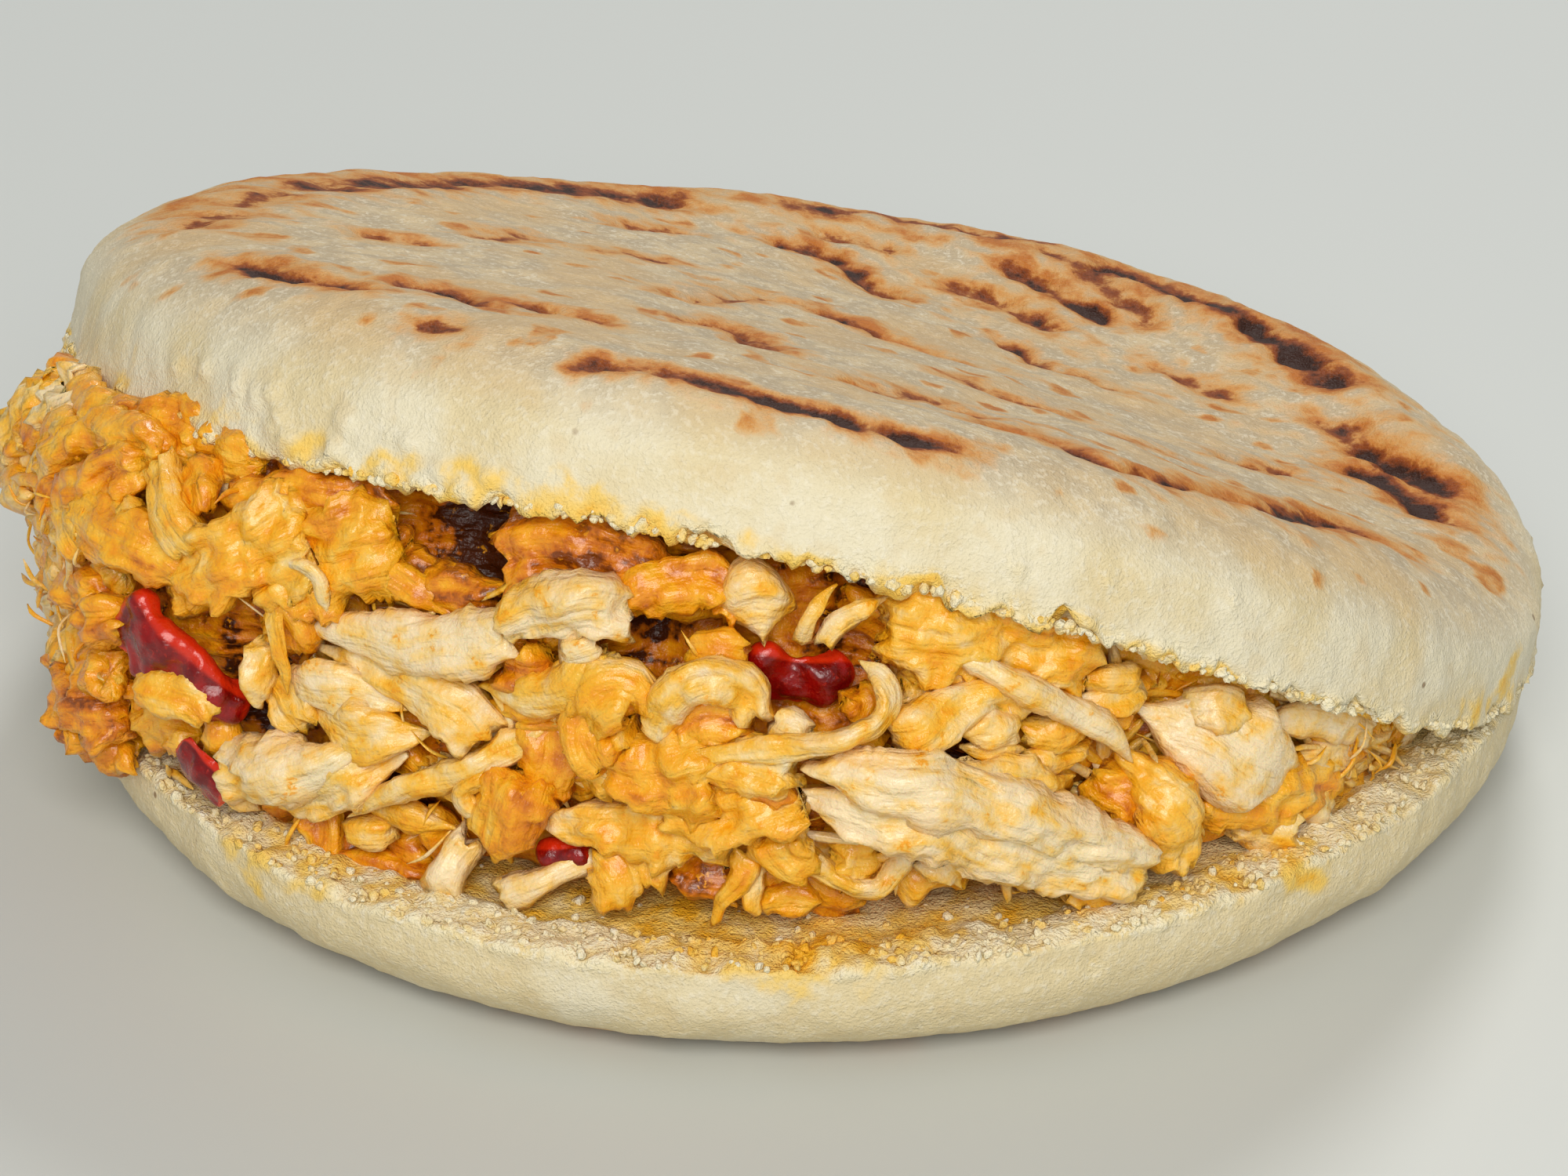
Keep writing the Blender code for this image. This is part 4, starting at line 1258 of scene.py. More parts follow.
def wisps(heap, rng, count, turn_range, sides, skip=None):
    """Single fibres, finer than a millimetre, that stand off the heap."""
    for _ in range(count):
        t, s = rng.uniform(*turn_range), rng.uniform(*sides)
        p, out, _, _ = surface_frame(t, s)
        if covered(p, 0.5):
            continue
        way = rng.normal(size=3)
        way -= out * (way @ out) * 0.7
        way /= np.linalg.norm(way)
        length = rng.uniform(1.5, 4.5)
        bow = out * rng.uniform(0.2, 0.9) + rng.normal(size=3) * 0.25
        start = p + out * rng.uniform(0.2, 1.6)
        line = [start, start + way * length * 0.5 + bow, start + way * length + bow * 0.4]
        w = rng.uniform(0.16, 0.4)
        shred(
            heap, line, [w, w, w * 0.5], w, out, tone=rng.uniform(0.1, 0.6), fibre=0, rough=0.1, ends="tt",
            seed=int(rng.integers(1, 10**6)), step=0.45, ruffle=0, slab=2, split=0, grid=0.3,
        )


# the shreds that lie outermost at the front: a label, the points of the middle line, the widths
# at those points, thickness, tilt, tone, fibre, roughness and how each end is finished
# the deep tones of pieces under the lid and down in gaps, such as "under lid sheet", "brown mass", "yellow chunk c"
# and the "shade" pieces, are partly painted shade
HEROES = [
    ("pale strip", [(-33.0, -40.0, 25.8), (-29.4, -42.0, 26.5), (-25.5, -44.4, 26.9), (-21.2, -46.9, 28.5), (-18.6, -47.9, 29.8)], [2.6, 4.0, 4.6, 4.6, 4.0], 1.3, 0, 0.12, 0.1, 0.1, "tb"),
    ("strip under", [(-32.6, -39.0, 24.0), (-28.4, -41.6, 23.8), (-24.9, -44.5, 23.6), (-22.0, -46.3, 22.8), (-20.5, -46.7, 21.0)], [1.6, 2.4, 3.6, 4.6, 4.2], 1.4, -10, 0.22, 0.35, 0.12, "tb"),
    ("pale wedge", [(-33.4, -40.0, 21.4), (-30.6, -41.8, 22.0), (-27.8, -43.0, 21.9), (-25.7, -43.7, 21.6)], [3.6, 4.2, 3.4, 1.5], 1.2, 0, 0.12, 0.3, 0.1, "bt"),
    ("tan lens", [(-32.4, -40.0, 19.5), (-29.5, -42.2, 19.3), (-26.5, -43.8, 19.7), (-24.2, -44.0, 20.0)], [3.0, 4.8, 4.8, 2.8], 2.4, 0, 0.3, 0.12, 0.1, "tt"),
    ("pointed strip", [(-29.9, -42.3, 12.6), (-26.0, -45.2, 16.4), (-22.0, -46.5, 18.5), (-18.6, -46.9, 20.6), (-16.0, -46.7, 22.0)], [0.7, 1.9, 2.2, 2.2, 1.6], 1.5, 0, 0.25, 0.35, 0.1, "tb"),
    ("shiny chunk", [(-38.7, -37.3, 13.4), (-35.7, -40.0, 14.5), (-32.3, -42.2, 16.2), (-29.0, -43.0, 18.2)], [4.6, 5.2, 5.0, 4.0], 2.6, 0, 0.14, 0.35, 0.15, "bt"),
    ("grooved chunk", [(-36.1, -37.4, 11.0), (-32.5, -40.8, 13.6), (-29.0, -43.0, 16.3), (-25.7, -43.7, 18.2)], [2.2, 4.6, 5.0, 3.6], 2.2, 0, 0.22, 0.6, 0.12, "tt"),
    ("little tip", [(-39.1, -35.7, 11.1), (-37.7, -36.8, 10.4), (-36.7, -36.9, 9.8)], [1.6, 2.4, 1.4], 1.2, 0, 0.2, 0.3, 0.1, "bt"),
    ("yellow flap a", [(-42.7, -33.1, 24.8), (-39.2, -38.3, 29.2), (-35.9, -39.1, 31.2), (-32.3, -39.9, 32.7)], [3.6, 5.4, 7.0, 7.4], 2.2, 0, 0.5, 0.15, 0.55, "bb"),
    ("yellow flap b", [(-36.0, -38.4, 28.1), (-32.7, -39.8, 30.6), (-29.4, -40.8, 32.1), (-26.5, -41.2, 33.0)], [5.0, 8.0, 8.0, 5.5], 2.0, 0, 0.58, 0.15, 0.6, "bb"),
    ("flap crest", [(-37.6, -37.9, 31.1), (-34.8, -38.6, 33.2), (-32.7, -38.6, 34.1)], [1.6, 2.6, 1.6], 1.4, 0, 0.6, 0.2, 0.5, "tt"),
    ("hanging lip", [(-27.8, -41.1, 31.5), (-26.1, -42.4, 30.7), (-24.3, -43.2, 29.7), (-21.9, -44.2, 28.8)], [2.4, 2.6, 1.8, 1.0], 1.0, 0, 0.7, 0.3, 0.3, "bt"),
    ("thread a", [(-34.2, -40.5, 30.9), (-32.6, -41.6, 31.1), (-31.5, -42.1, 30.0), (-31.0, -41.6, 27.2)], [1.0, 1.4, 1.5, 1.2], 0.8, 0, 0.22, 0.2, 0.05, "tt"),
    ("thread b", [(-34.8, -39.7, 27.9), (-34.7, -40.5, 25.7), (-34.2, -40.8, 23.2), (-34.0, -40.4, 20.9)], [2.0, 1.4, 1.3, 0.8], 0.8, 0, 0.45, 0.2, 0.1, "bt"),
    ("ragged bit", [(-35.4, -38.4, 23.6), (-36.2, -39.0, 21.7), (-36.3, -39.3, 19.9), (-36.0, -39.1, 18.9)], [2.0, 2.6, 2.2, 1.2], 1.6, 0, 0.35, 0.3, 0.45, "bt"),
    ("clump l", [(-35.3, -38.3, 26.6), (-33.6, -39.3, 26.0), (-33.1, -39.5, 23.7)], [3.4, 4.2, 3.0], 2.2, 0, 0.62, 0.2, 0.5, "bb"),
    ("tan fold", [(-35.1, -37.9, 21.0), (-34.1, -39.1, 19.9), (-32.8, -40.1, 18.3)], [3.0, 4.0, 3.0], 2.2, 0, 0.42, 0.3, 0.2, "bb"),
    ("fibre bit", [(-32.8, -39.1, 11.4), (-32.0, -39.5, 10.0), (-31.6, -40.0, 8.1)], [3.4, 3.4, 2.6], 1.6, 0, 0.62, 0.7, 0.2, "bb"),
    ("tube", [(-30.0, -41.0, 10.9), (-28.6, -42.2, 11.3), (-27.0, -42.3, 11.3)], [2.2, 2.6, 2.2], 2.4, 0, 0.3, 0.1, 0.05, "bb"),
    ("tan strip", [(-28.9, -41.4, 12.7), (-25.8, -43.6, 13.4), (-22.3, -45.0, 13.2)], [1.6, 2.4, 1.6], 1.4, 0, 0.45, 0.5, 0.1, "tt"),
    ("brown strip", [(-31.5, -40.2, 8.5), (-28.2, -41.7, 8.6), (-23.7, -43.6, 8.5)], [1.4, 2.0, 1.6], 1.4, 0, 0.72, 0.6, 0.2, "tt"),
    ("brown wall", [(-30.6, -38.5, 8.5), (-27.2, -40.4, 9.1), (-23.9, -41.9, 9.4)], [4.0, 5.0, 4.0], 2.0, 0, 0.8, 0.5, 0.3, "bb"),
    ("pale stub", [(-21.3, -45.5, 12.8), (-22.2, -45.6, 11.5), (-23.1, -45.8, 10.0), (-23.5, -46.1, 8.6)], [2.6, 2.9, 3.0, 2.6], 2.2, 0, 0.18, 0.2, 0.12, "bb"),
    ("dripping tip", [(-18.4, -46.7, 18.7), (-18.6, -47.4, 16.7), (-19.2, -47.4, 14.5), (-19.7, -46.6, 11.5)], [6.2, 6.0, 4.6, 1.0], 2.6, 0, 0.66, 0.25, 0.45, "bt"),
    ("loop", [(-19.2, -47.1, 15.5), (-21.3, -47.0, 16.1), (-21.7, -47.0, 17.6), (-19.9, -47.3, 19.0)], [1.4, 1.7, 1.7, 1.4], 1.3, 20, 0.32, 0.3, 0.1, "bb"),
    ("upright fibres", [(-16.0, -46.8, 22.4), (-16.0, -47.1, 20.2), (-16.3, -46.8, 16.7)], [4.2, 4.4, 3.6], 1.6, 0, 0.72, 0.9, 0.15, "bb"),
    ("forked strip", [(-19.2, -47.6, 9.6), (-16.5, -48.3, 11.2), (-13.9, -47.5, 12.2), (-12.1, -47.4, 13.0)], [2.5, 2.0, 1.9, 1.4], 1.2, 0, 0.14, 0.3, 0.08, "bb"),
    ("fork", [(-18.3, -47.5, 10.1), (-19.0, -47.2, 10.5), (-19.7, -46.7, 10.3)], [1.2, 1.2, 0.8], 0.9, 0, 0.35, 0.2, 0.1, "bt"),
    ("lump a", [(-12.3, -47.9, 13.5), (-11.5, -49.1, 12.1), (-11.7, -49.2, 9.8)], [3.6, 4.0, 3.0], 2.6, 0, 0.5, 0.3, 0.3, "bb"),
    ("lump b", [(-9.7, -48.7, 15.5), (-9.4, -49.5, 13.9), (-9.1, -49.7, 11.8)], [3.0, 3.2, 2.6], 2.0, 0, 0.38, 0.4, 0.3, "bb"),
    ("brown back", [(-7.6, -47.8, 13.2), (-5.5, -48.5, 12.8), (-3.6, -48.8, 12.7)], [3.4, 4.2, 3.0], 2.4, 0, 0.85, 0.3, 0.6, "bb"),
    ("ragged sheet", [(-17.7, -46.8, 15.1), (-14.4, -48.1, 15.5), (-10.7, -49.5, 16.2), (-7.0, -50.4, 16.7), (-3.9, -50.9, 16.0)], [1.8, 3.4, 4.6, 5.6, 4.0], 1.6, 0, 0.42, 0.4, 0.5, "tb"),
    ("tendril a", [(-2.6, -51.0, 15.5), (-3.1, -51.3, 13.6), (-4.2, -50.8, 11.6), (-4.7, -50.6, 9.7)], [2.6, 1.8, 1.1, 0.8], 1.0, 0, 0.45, 0.3, 0.2, "bb"),
    ("tendril b", [(-2.4, -50.6, 14.4), (-2.3, -50.7, 12.3), (-2.1, -50.6, 10.5)], [2.0, 1.6, 1.2], 1.2, 0, 0.4, 0.3, 0.3, "bb"),
    ("centre drop", [(-1.0, -51.7, 17.5), (-0.2, -51.9, 16.1), (1.4, -51.6, 14.8)], [5.0, 4.0, 2.6], 2.2, 0, 0.42, 0.3, 0.4, "bb"),
    ("under curl", [(1.3, -52.0, 15.4), (3.8, -51.9, 13.6), (6.2, -51.3, 13.2), (7.5, -51.1, 14.6), (7.6, -50.9, 16.1)], [1.6, 1.7, 1.9, 1.9, 1.4], 1.2, 30, 0.25, 0.3, 0.15, "bb"),
    ("curl filling", [(3.0, -50.8, 15.3), (4.5, -50.6, 14.9), (6.0, -50.1, 14.8)], [3.0, 3.4, 2.4], 2.4, 0, 0.45, 0.2, 0.4, "bb"),
    ("crumbly bits", [(-1.5, -49.3, 11.2), (0.4, -49.5, 11.1), (1.9, -49.3, 10.7)], [2.0, 3.0, 2.0], 1.8, 0, 0.6, 0.2, 0.8, "bb"),
    ("blob", [(-13.4, -49.4, 25.0), (-12.3, -50.8, 26.9), (-10.7, -51.1, 27.5), (-9.9, -50.4, 25.7)], [3.2, 4.6, 4.6, 3.0], 3.6, 0, 0.5, 0.15, 0.4, "bb"),
    ("blob neck", [(-12.3, -49.3, 25.3), (-12.8, -49.6, 23.7), (-11.2, -49.7, 22.0)], [4.0, 4.6, 5.0], 3.0, 0, 0.62, 0.2, 0.45, "bb"),
    ("ruffle", [(-8.7, -50.5, 24.3), (-7.8, -51.9, 27.4), (-5.6, -52.6, 29.1), (-3.3, -52.4, 28.4), (-2.0, -52.0, 25.8)], [2.2, 3.0, 3.4, 3.2, 2.4], 2.4, 0, 0.3, 0.3, 0.4, "bb"),
    ("ruffle heart", [(-7.1, -50.2, 24.4), (-5.3, -51.1, 25.6), (-3.2, -51.0, 24.7)], [4.0, 5.0, 4.0], 2.4, 0, 0.72, 0.2, 0.5, "bb"),
    ("spike", [(-15.0, -48.2, 21.3), (-13.6, -49.0, 21.3), (-11.5, -49.4, 20.7)], [0.7, 2.4, 4.0], 1.6, 0, 0.45, 0.2, 0.3, "tb"),
    ("centre mass a", [(-13.6, -48.4, 19.8), (-10.7, -50.0, 20.7), (-7.6, -51.3, 21.2), (-4.4, -52.2, 21.5)], [3.5, 5.6, 6.6, 6.0], 3.0, 0, 0.56, 0.25, 0.5, "tb"),
    ("centre mass b", [(-8.1, -49.8, 18.6), (-4.9, -51.6, 19.4), (-2.1, -52.7, 20.4), (0.2, -53.0, 21.8)], [4.6, 6.0, 6.4, 5.0], 2.8, 0, 0.48, 0.3, 0.5, "bb"),
    ("centre mass c", [(-5.5, -51.4, 23.1), (-2.4, -52.7, 23.0), (0.2, -53.0, 22.6)], [3.6, 4.6, 3.6], 2.4, 0, 0.34, 0.3, 0.4, "bb"),
    ("orange pocket", [(-2.9, -52.6, 21.5), (-1.1, -53.1, 21.2), (0.2, -53.0, 20.3)], [2.6, 3.0, 2.0], 1.6, 0, 0.8, 0.1, 0.4, "bb"),
    ("big loop", [(-8.9, -50.6, 22.1), (-5.5, -52.6, 23.6), (-1.6, -53.8, 24.7), (2.2, -54.5, 25.6), (5.1, -53.9, 26.5), (6.4, -52.9, 28.0), (5.7, -51.8, 29.3), (4.6, -50.6, 29.6)], [1.2, 1.7, 1.9, 2.0, 2.2, 2.3, 2.2, 1.6], 1.2, 25, 0.24, 0.3, 0.08, "tt"),
    ("loop shade", [(4.7, -49.7, 27.1), (5.0, -50.4, 26.3), (4.0, -51.0, 25.2)], [3.4, 3.8, 2.6], 1.4, 0, 0.7, 0.2, 0.2, "bb"),
    ("white bit", [(-1.2, -51.3, 25.8), (0.1, -52.1, 25.4), (1.4, -52.5, 24.8)], [2.4, 3.0, 2.2], 1.8, 0, 0.18, 0.2, 0.5, "bb"),
    ("right of loop", [(6.8, -51.6, 24.9), (8.6, -52.0, 25.5), (10.9, -50.6, 26.5), (13.1, -48.8, 26.5), (15.7, -47.6, 24.3)], [4.4, 4.6, 3.0, 2.4, 2.2], 2.0, 0, 0.28, 0.3, 0.2, "bb"),
    ("fray point", [(11.1, -50.1, 26.0), (11.8, -49.6, 26.9), (12.0, -48.9, 27.5)], [2.6, 1.6, 0.6], 1.0, 0, 0.3, 0.3, 0.2, "bt"),
    ("muscle upper", [(0.7, -53.1, 23.1), (4.3, -54.1, 23.1), (8.9, -54.1, 22.3), (13.6, -52.2, 19.9), (19.1, -49.3, 16.4), (24.0, -45.8, 12.8)], [3.0, 5.0, 5.2, 4.8, 4.2, 3.0], 2.8, 0, 0.12, 0.95, 0.08, "tb"),
    ("muscle lower", [(0.2, -52.2, 20.8), (4.3, -53.4, 20.1), (9.0, -53.4, 19.3), (14.3, -51.3, 16.4), (19.2, -48.8, 13.8), (23.7, -46.4, 11.2)], [3.2, 4.8, 5.0, 4.8, 4.6, 3.2], 2.8, 0, 0.15, 0.85, 0.1, "tb"),
    ("muscle fringe", [(9.1, -51.2, 15.9), (10.5, -51.0, 14.8), (11.7, -49.8, 12.2)], [3.0, 2.8, 0.7], 1.2, 0, 0.3, 0.3, 0.25, "bt"),
    ("fringe b", [(13.4, -49.4, 14.2), (15.6, -48.7, 13.0), (16.2, -47.8, 10.8)], [2.6, 3.0, 1.2], 1.4, 0, 0.4, 0.3, 0.4, "bt"),
    ("fringe c", [(19.4, -47.0, 11.7), (21.0, -46.4, 10.7), (21.7, -45.7, 9.3)], [3.6, 3.4, 2.0], 1.8, 0, 0.4, 0.3, 0.5, "bb"),
    ("thread top", [(9.2, -49.4, 29.7), (11.6, -49.5, 29.4), (14.7, -49.6, 27.7), (18.0, -48.1, 25.2), (21.1, -46.1, 22.5), (23.0, -44.5, 19.3)], [1.0, 1.7, 2.1, 2.2, 2.0, 1.2], 1.6, 0, 0.16, 0.15, 0.05, "tt"),
    ("layer a", [(18.8, -45.0, 25.6), (20.9, -44.5, 25.4), (23.2, -43.2, 25.1)], [2.0, 2.4, 2.2], 1.2, 0, 0.35, 0.5, 0.2, "tb"),
    ("layer b", [(18.6, -45.3, 24.3), (21.0, -44.7, 23.9), (23.7, -43.2, 23.7)], [2.0, 2.4, 2.4], 1.2, 0, 0.42, 0.5, 0.2, "tb"),
    ("layer c", [(18.4, -45.5, 23.1), (20.8, -44.4, 22.4), (23.2, -42.9, 21.8)], [2.0, 2.6, 2.0], 1.2, 0, 0.5, 0.5, 0.2, "tb"),
    ("pale leaf", [(11.0, -50.4, 24.5), (13.1, -49.9, 24.5), (15.1, -48.5, 24.0)], [2.6, 3.4, 2.2], 1.4, 0, 0.34, 0.4, 0.2, "tb"),
    ("leaf b", [(11.2, -50.3, 23.2), (13.2, -50.0, 22.8), (15.6, -48.6, 22.3)], [1.8, 2.0, 1.6], 1.2, 0, 0.25, 0.4, 0.1, "tt"),
    ("leaf c", [(15.7, -47.5, 22.9), (17.6, -46.9, 22.6), (19.7, -45.3, 22.4)], [2.2, 2.8, 1.8], 1.2, 0, 0.4, 0.5, 0.4, "bb"),
    ("leaf d", [(15.3, -48.1, 20.9), (17.4, -47.1, 20.9), (19.8, -45.3, 20.6)], [1.8, 2.4, 1.6], 1.2, 0, 0.38, 0.5, 0.3, "bb"),
    ("leaf e", [(11.0, -51.1, 21.8), (13.6, -50.5, 21.3), (16.8, -48.7, 19.7), (19.0, -46.6, 19.2)], [2.6, 3.8, 3.4, 2.0], 1.4, 0, 0.3, 0.4, 0.4, "bt"),
    ("hang chunk", [(21.8, -44.0, 19.9), (24.0, -44.3, 18.1), (25.8, -44.5, 15.6), (26.1, -44.0, 13.2), (25.9, -43.3, 10.9)], [3.2, 4.8, 5.2, 4.4, 3.0], 3.0, 0, 0.42, 0.3, 0.35, "tb"),
    ("hang shade", [(20.8, -43.8, 18.0), (22.5, -44.0, 16.3), (23.6, -44.1, 14.3)], [3.4, 4.0, 3.0], 2.0, 0, 0.72, 0.3, 0.3, "bb"),
    ("yellow chunk a", [(5.6, -48.2, 31.0), (8.7, -48.4, 31.2), (12.3, -47.6, 30.5), (16.0, -46.0, 28.9), (19.3, -44.1, 26.8)], [5.0, 7.2, 8.0, 7.6, 5.5], 3.4, 0, 0.48, 0.12, 0.6, "bb"),
    ("yellow chunk b", [(7.2, -48.5, 28.2), (10.9, -47.9, 27.3), (14.5, -46.8, 27.0)], [4.6, 5.2, 4.4], 3.0, 0, 0.36, 0.2, 0.4, "bb"),
    ("yellow chunk c", [(12.4, -44.0, 31.0), (16.3, -40.1, 28.5), (20.1, -38.6, 26.6)], [4.0, 5.0, 4.0], 3.0, 0, 0.78, 0.2, 0.4, "bb"),
    ("ribbon c", [(0.7, -49.6, 30.4), (1.2, -49.4, 32.6), (2.9, -48.7, 34.3)], [1.6, 1.2, 0.9], 0.9, 0, 0.25, 0.2, 0.1, "bt"),
    ("ribbon d", [(2.0, -49.7, 30.4), (3.0, -49.6, 31.9), (4.8, -49.4, 33.0), (6.6, -48.3, 33.4)], [1.6, 1.6, 1.4, 0.9], 0.9, 0, 0.22, 0.2, 0.1, "bt"),
    ("smooth chunk", [(23.1, -42.0, 22.2), (26.1, -41.8, 20.6), (29.4, -40.9, 18.4), (33.0, -38.5, 15.9), (35.3, -35.4, 13.6)], [4.0, 7.4, 8.0, 6.4, 3.0], 4.2, 0, 0.1, 0.1, 0.06, "tt"),
    ("on chunk", [(27.0, -41.8, 22.1), (29.0, -41.5, 21.7), (31.1, -40.1, 19.8)], [2.4, 3.6, 1.6], 1.6, 0, 0.22, 0.2, 0.3, "bt"),
    ("chunk rim", [(26.0, -39.8, 23.4), (29.4, -38.2, 22.2), (33.2, -36.3, 18.6)], [2.4, 3.2, 2.2], 1.6, 0, 0.55, 0.3, 0.1, "tt"),
    ("tail strip", [(31.8, -38.3, 18.4), (34.5, -36.9, 18.6), (37.5, -34.6, 17.4), (40.6, -30.4, 14.1)], [2.0, 2.8, 3.2, 2.4], 1.6, 0, 0.14, 0.2, 0.08, "tb"),
    ("tail under", [(34.3, -36.3, 15.3), (37.8, -33.7, 14.2), (41.3, -27.7, 10.5)], [2.2, 2.6, 1.6], 1.2, 0, 0.22, 0.3, 0.15, "tt"),
    ("whisker a", [(40.5, -30.4, 13.5), (42.6, -27.6, 11.0), (44.3, -26.9, 9.2)], [0.6, 0.5, 0.3], 0.4, 0, 0.2, 0.1, 0.0, "tt"),
    ("whisker b", [(40.9, -28.5, 11.7), (42.4, -27.8, 10.2), (43.5, -27.1, 9.4)], [0.5, 0.4, 0.3], 0.4, 0, 0.2, 0.1, 0.0, "tt"),
    ("yellow end a", [(27.5, -41.1, 15.1), (30.6, -39.7, 14.1), (34.4, -36.9, 12.9), (37.5, -33.0, 11.7)], [3.4, 4.8, 5.0, 3.4], 2.6, 0, 0.55, 0.2, 0.5, "bb"),
    ("yellow end b", [(31.0, -39.2, 12.3), (33.3, -37.9, 10.8), (35.2, -37.3, 10.3)], [3.4, 4.4, 3.2], 2.6, 0, 0.28, 0.2, 0.15, "bb"),
    ("yellow end c", [(27.2, -40.8, 16.1), (29.7, -39.8, 16.0), (32.0, -38.2, 14.8)], [2.6, 3.2, 2.4], 2.0, 0, 0.38, 0.3, 0.3, "bb"),
    ("end lumps", [(34.4, -36.7, 12.8), (36.3, -34.8, 10.8), (37.6, -33.2, 10.5)], [3.0, 3.2, 2.2], 1.8, 0, 0.25, 0.2, 0.2, "bb"),
    ("lumpy white", [(-18.3, -46.8, 30.7), (-15.9, -48.6, 32.3), (-13.3, -49.6, 33.1), (-10.8, -49.3, 31.8)], [2.6, 4.4, 5.2, 3.4], 3.0, 0, 0.2, 0.15, 0.55, "bb"),
    ("facet", [(-14.9, -49.4, 29.5), (-13.5, -50.1, 30.2), (-12.3, -49.8, 30.5)], [2.0, 2.6, 2.0], 1.8, 0, 0.12, 0.1, 0.1, "bb"),
    ("smooth band", [(-20.5, -45.6, 24.7), (-17.0, -47.9, 25.3), (-13.8, -49.6, 27.3), (-11.9, -49.6, 29.5)], [2.4, 3.6, 3.8, 3.0], 2.4, 0, 0.4, 0.15, 0.08, "tb"),
    ("band shade", [(-20.3, -45.2, 23.2), (-16.5, -47.0, 23.7), (-13.9, -47.8, 25.0)], [2.4, 3.0, 2.2], 2.0, 0, 0.62, 0.2, 0.1, "tt"),
    ("grains", [(-19.2, -46.1, 27.0), (-17.3, -47.2, 26.9), (-15.7, -47.7, 27.4)], [3.0, 3.6, 2.8], 2.2, 0, 0.8, 0.2, 0.8, "bb"),
    ("brown sheet a", [(-11.3, -47.9, 32.1), (-8.8, -48.5, 33.6), (-5.7, -48.4, 34.2), (-4.2, -48.3, 33.1), (-4.7, -48.7, 31.4)], [3.0, 4.4, 3.6, 2.4, 1.6], 1.8, 0, 0.7, 0.2, 0.5, "bb"),
    ("mound", [(-4.4, -48.0, 31.5), (-2.4, -48.4, 32.9), (0.2, -47.7, 32.3)], [4.4, 6.4, 4.4], 4.0, 0, 0.28, 0.1, 0.1, "tt"),
    ("brown lump", [(-6.7, -49.0, 29.1), (-4.9, -49.8, 29.7), (-3.1, -49.3, 29.1)], [2.6, 3.6, 2.4], 2.8, 0, 0.62, 0.1, 0.15, "bb"),
    ("brown mass", [(-18.8, -43.7, 32.7), (-15.1, -45.3, 34.5), (-11.4, -45.9, 34.5), (-8.8, -46.3, 33.7)], [5.0, 6.6, 6.0, 4.0], 4.0, 0, 0.9, 0.2, 0.5, "bb"),
    ("brown mass b", [(-23.7, -40.9, 29.7), (-21.4, -43.2, 30.1), (-19.3, -44.3, 30.2)], [3.6, 4.2, 3.0], 2.6, 0, 0.88, 0.3, 0.4, "bb"),
    ("under lid sheet", [(-37.8, -35.3, 32.8), (-33.8, -37.4, 34.2), (-30.0, -38.9, 34.4), (-26.8, -39.8, 34.1)], [3.0, 4.4, 4.6, 3.4], 2.0, 0, 0.78, 0.5, 0.3, "bb"),
    ("left lobe", [(-42.8, -32.0, 34.0), (-42.3, -34.6, 32.9), (-41.5, -36.2, 31.5), (-40.6, -36.8, 30.1)], [3.0, 3.2, 3.8, 3.6], 2.8, 0, 0.4, 0.2, 0.2, "bb"),
    ("left lobe b", [(-40.6, -33.1, 34.6), (-40.1, -35.2, 33.6), (-39.7, -36.1, 32.2)], [2.4, 3.0, 2.6], 2.4, 0, 0.62, 0.2, 0.5, "bb"),
    ("left spike a", [(-56.4, -12.3, 27.5), (-54.5, -12.1, 27.9), (-51.5, -19.5, 30.6), (-49.3, -24.6, 31.4)], [1.8, 3.0, 3.4, 3.0], 2.6, 0, 0.62, 0.2, 0.35, "bb"),
    ("left spike b", [(-52.9, -9.6, 30.8), (-51.1, -14.1, 31.0), (-48.5, -22.0, 33.0), (-46.0, -26.4, 33.9)], [2.0, 3.4, 3.8, 3.0], 2.8, 0, 0.58, 0.3, 0.25, "bb"),
    ("left thread", [(-58.1, -11.2, 21.7), (-55.1, -17.5, 25.5), (-52.6, -21.6, 27.1), (-50.1, -25.7, 29.5)], [0.6, 1.0, 1.5, 2.2], 0.9, 0, 0.55, 0.1, 0.1, "tt"),
    ("left fold a", [(-52.8, -20.5, 27.6), (-50.7, -23.1, 30.8), (-48.1, -25.3, 33.0), (-45.1, -29.3, 34.4), (-42.9, -32.0, 34.3)], [2.6, 3.4, 3.6, 3.4, 2.8], 2.8, 0, 0.55, 0.4, 0.35, "bb"),
    ("left fold b", [(-51.9, -23.5, 26.7), (-48.9, -28.5, 30.1), (-46.4, -30.3, 32.5), (-44.0, -31.9, 33.3)], [2.8, 3.8, 4.0, 3.0], 2.8, 0, 0.66, 0.4, 0.4, "bb"),
    ("left drape", [(-49.0, -28.1, 29.0), (-46.9, -31.9, 28.8), (-44.1, -34.7, 28.8), (-41.0, -36.2, 28.3)], [3.6, 5.0, 4.6, 3.2], 2.2, 0, 0.6, 0.7, 0.2, "bb"),
    ("left drape b", [(-45.8, -31.8, 30.3), (-43.8, -34.6, 29.3), (-41.6, -35.8, 27.9)], [2.6, 3.2, 2.4], 1.8, 0, 0.5, 0.7, 0.2, "bb"),
    ("left yellow", [(-49.8, -26.4, 27.8), (-49.3, -28.8, 26.9), (-48.5, -29.8, 25.5)], [3.0, 4.2, 3.4], 2.6, 0, 0.42, 0.2, 0.1, "bb"),
    ("left lump a", [(-52.9, -13.8, 17.7), (-50.6, -23.4, 20.8), (-48.1, -30.7, 22.7)], [3.0, 4.2, 3.6], 3.0, 0, 0.72, 0.2, 0.45, "bb"),
    ("left lump b", [(-49.5, -27.1, 20.5), (-47.5, -31.8, 21.8), (-45.6, -33.5, 22.7)], [3.0, 3.8, 3.0], 2.8, 0, 0.72, 0.2, 0.45, "bb"),
    ("left low a", [(-52.6, -19.8, 12.8), (-50.5, -24.3, 14.0), (-46.9, -31.8, 17.3)], [3.4, 4.4, 3.6], 3.0, 0, 0.68, 0.2, 0.45, "bb"),
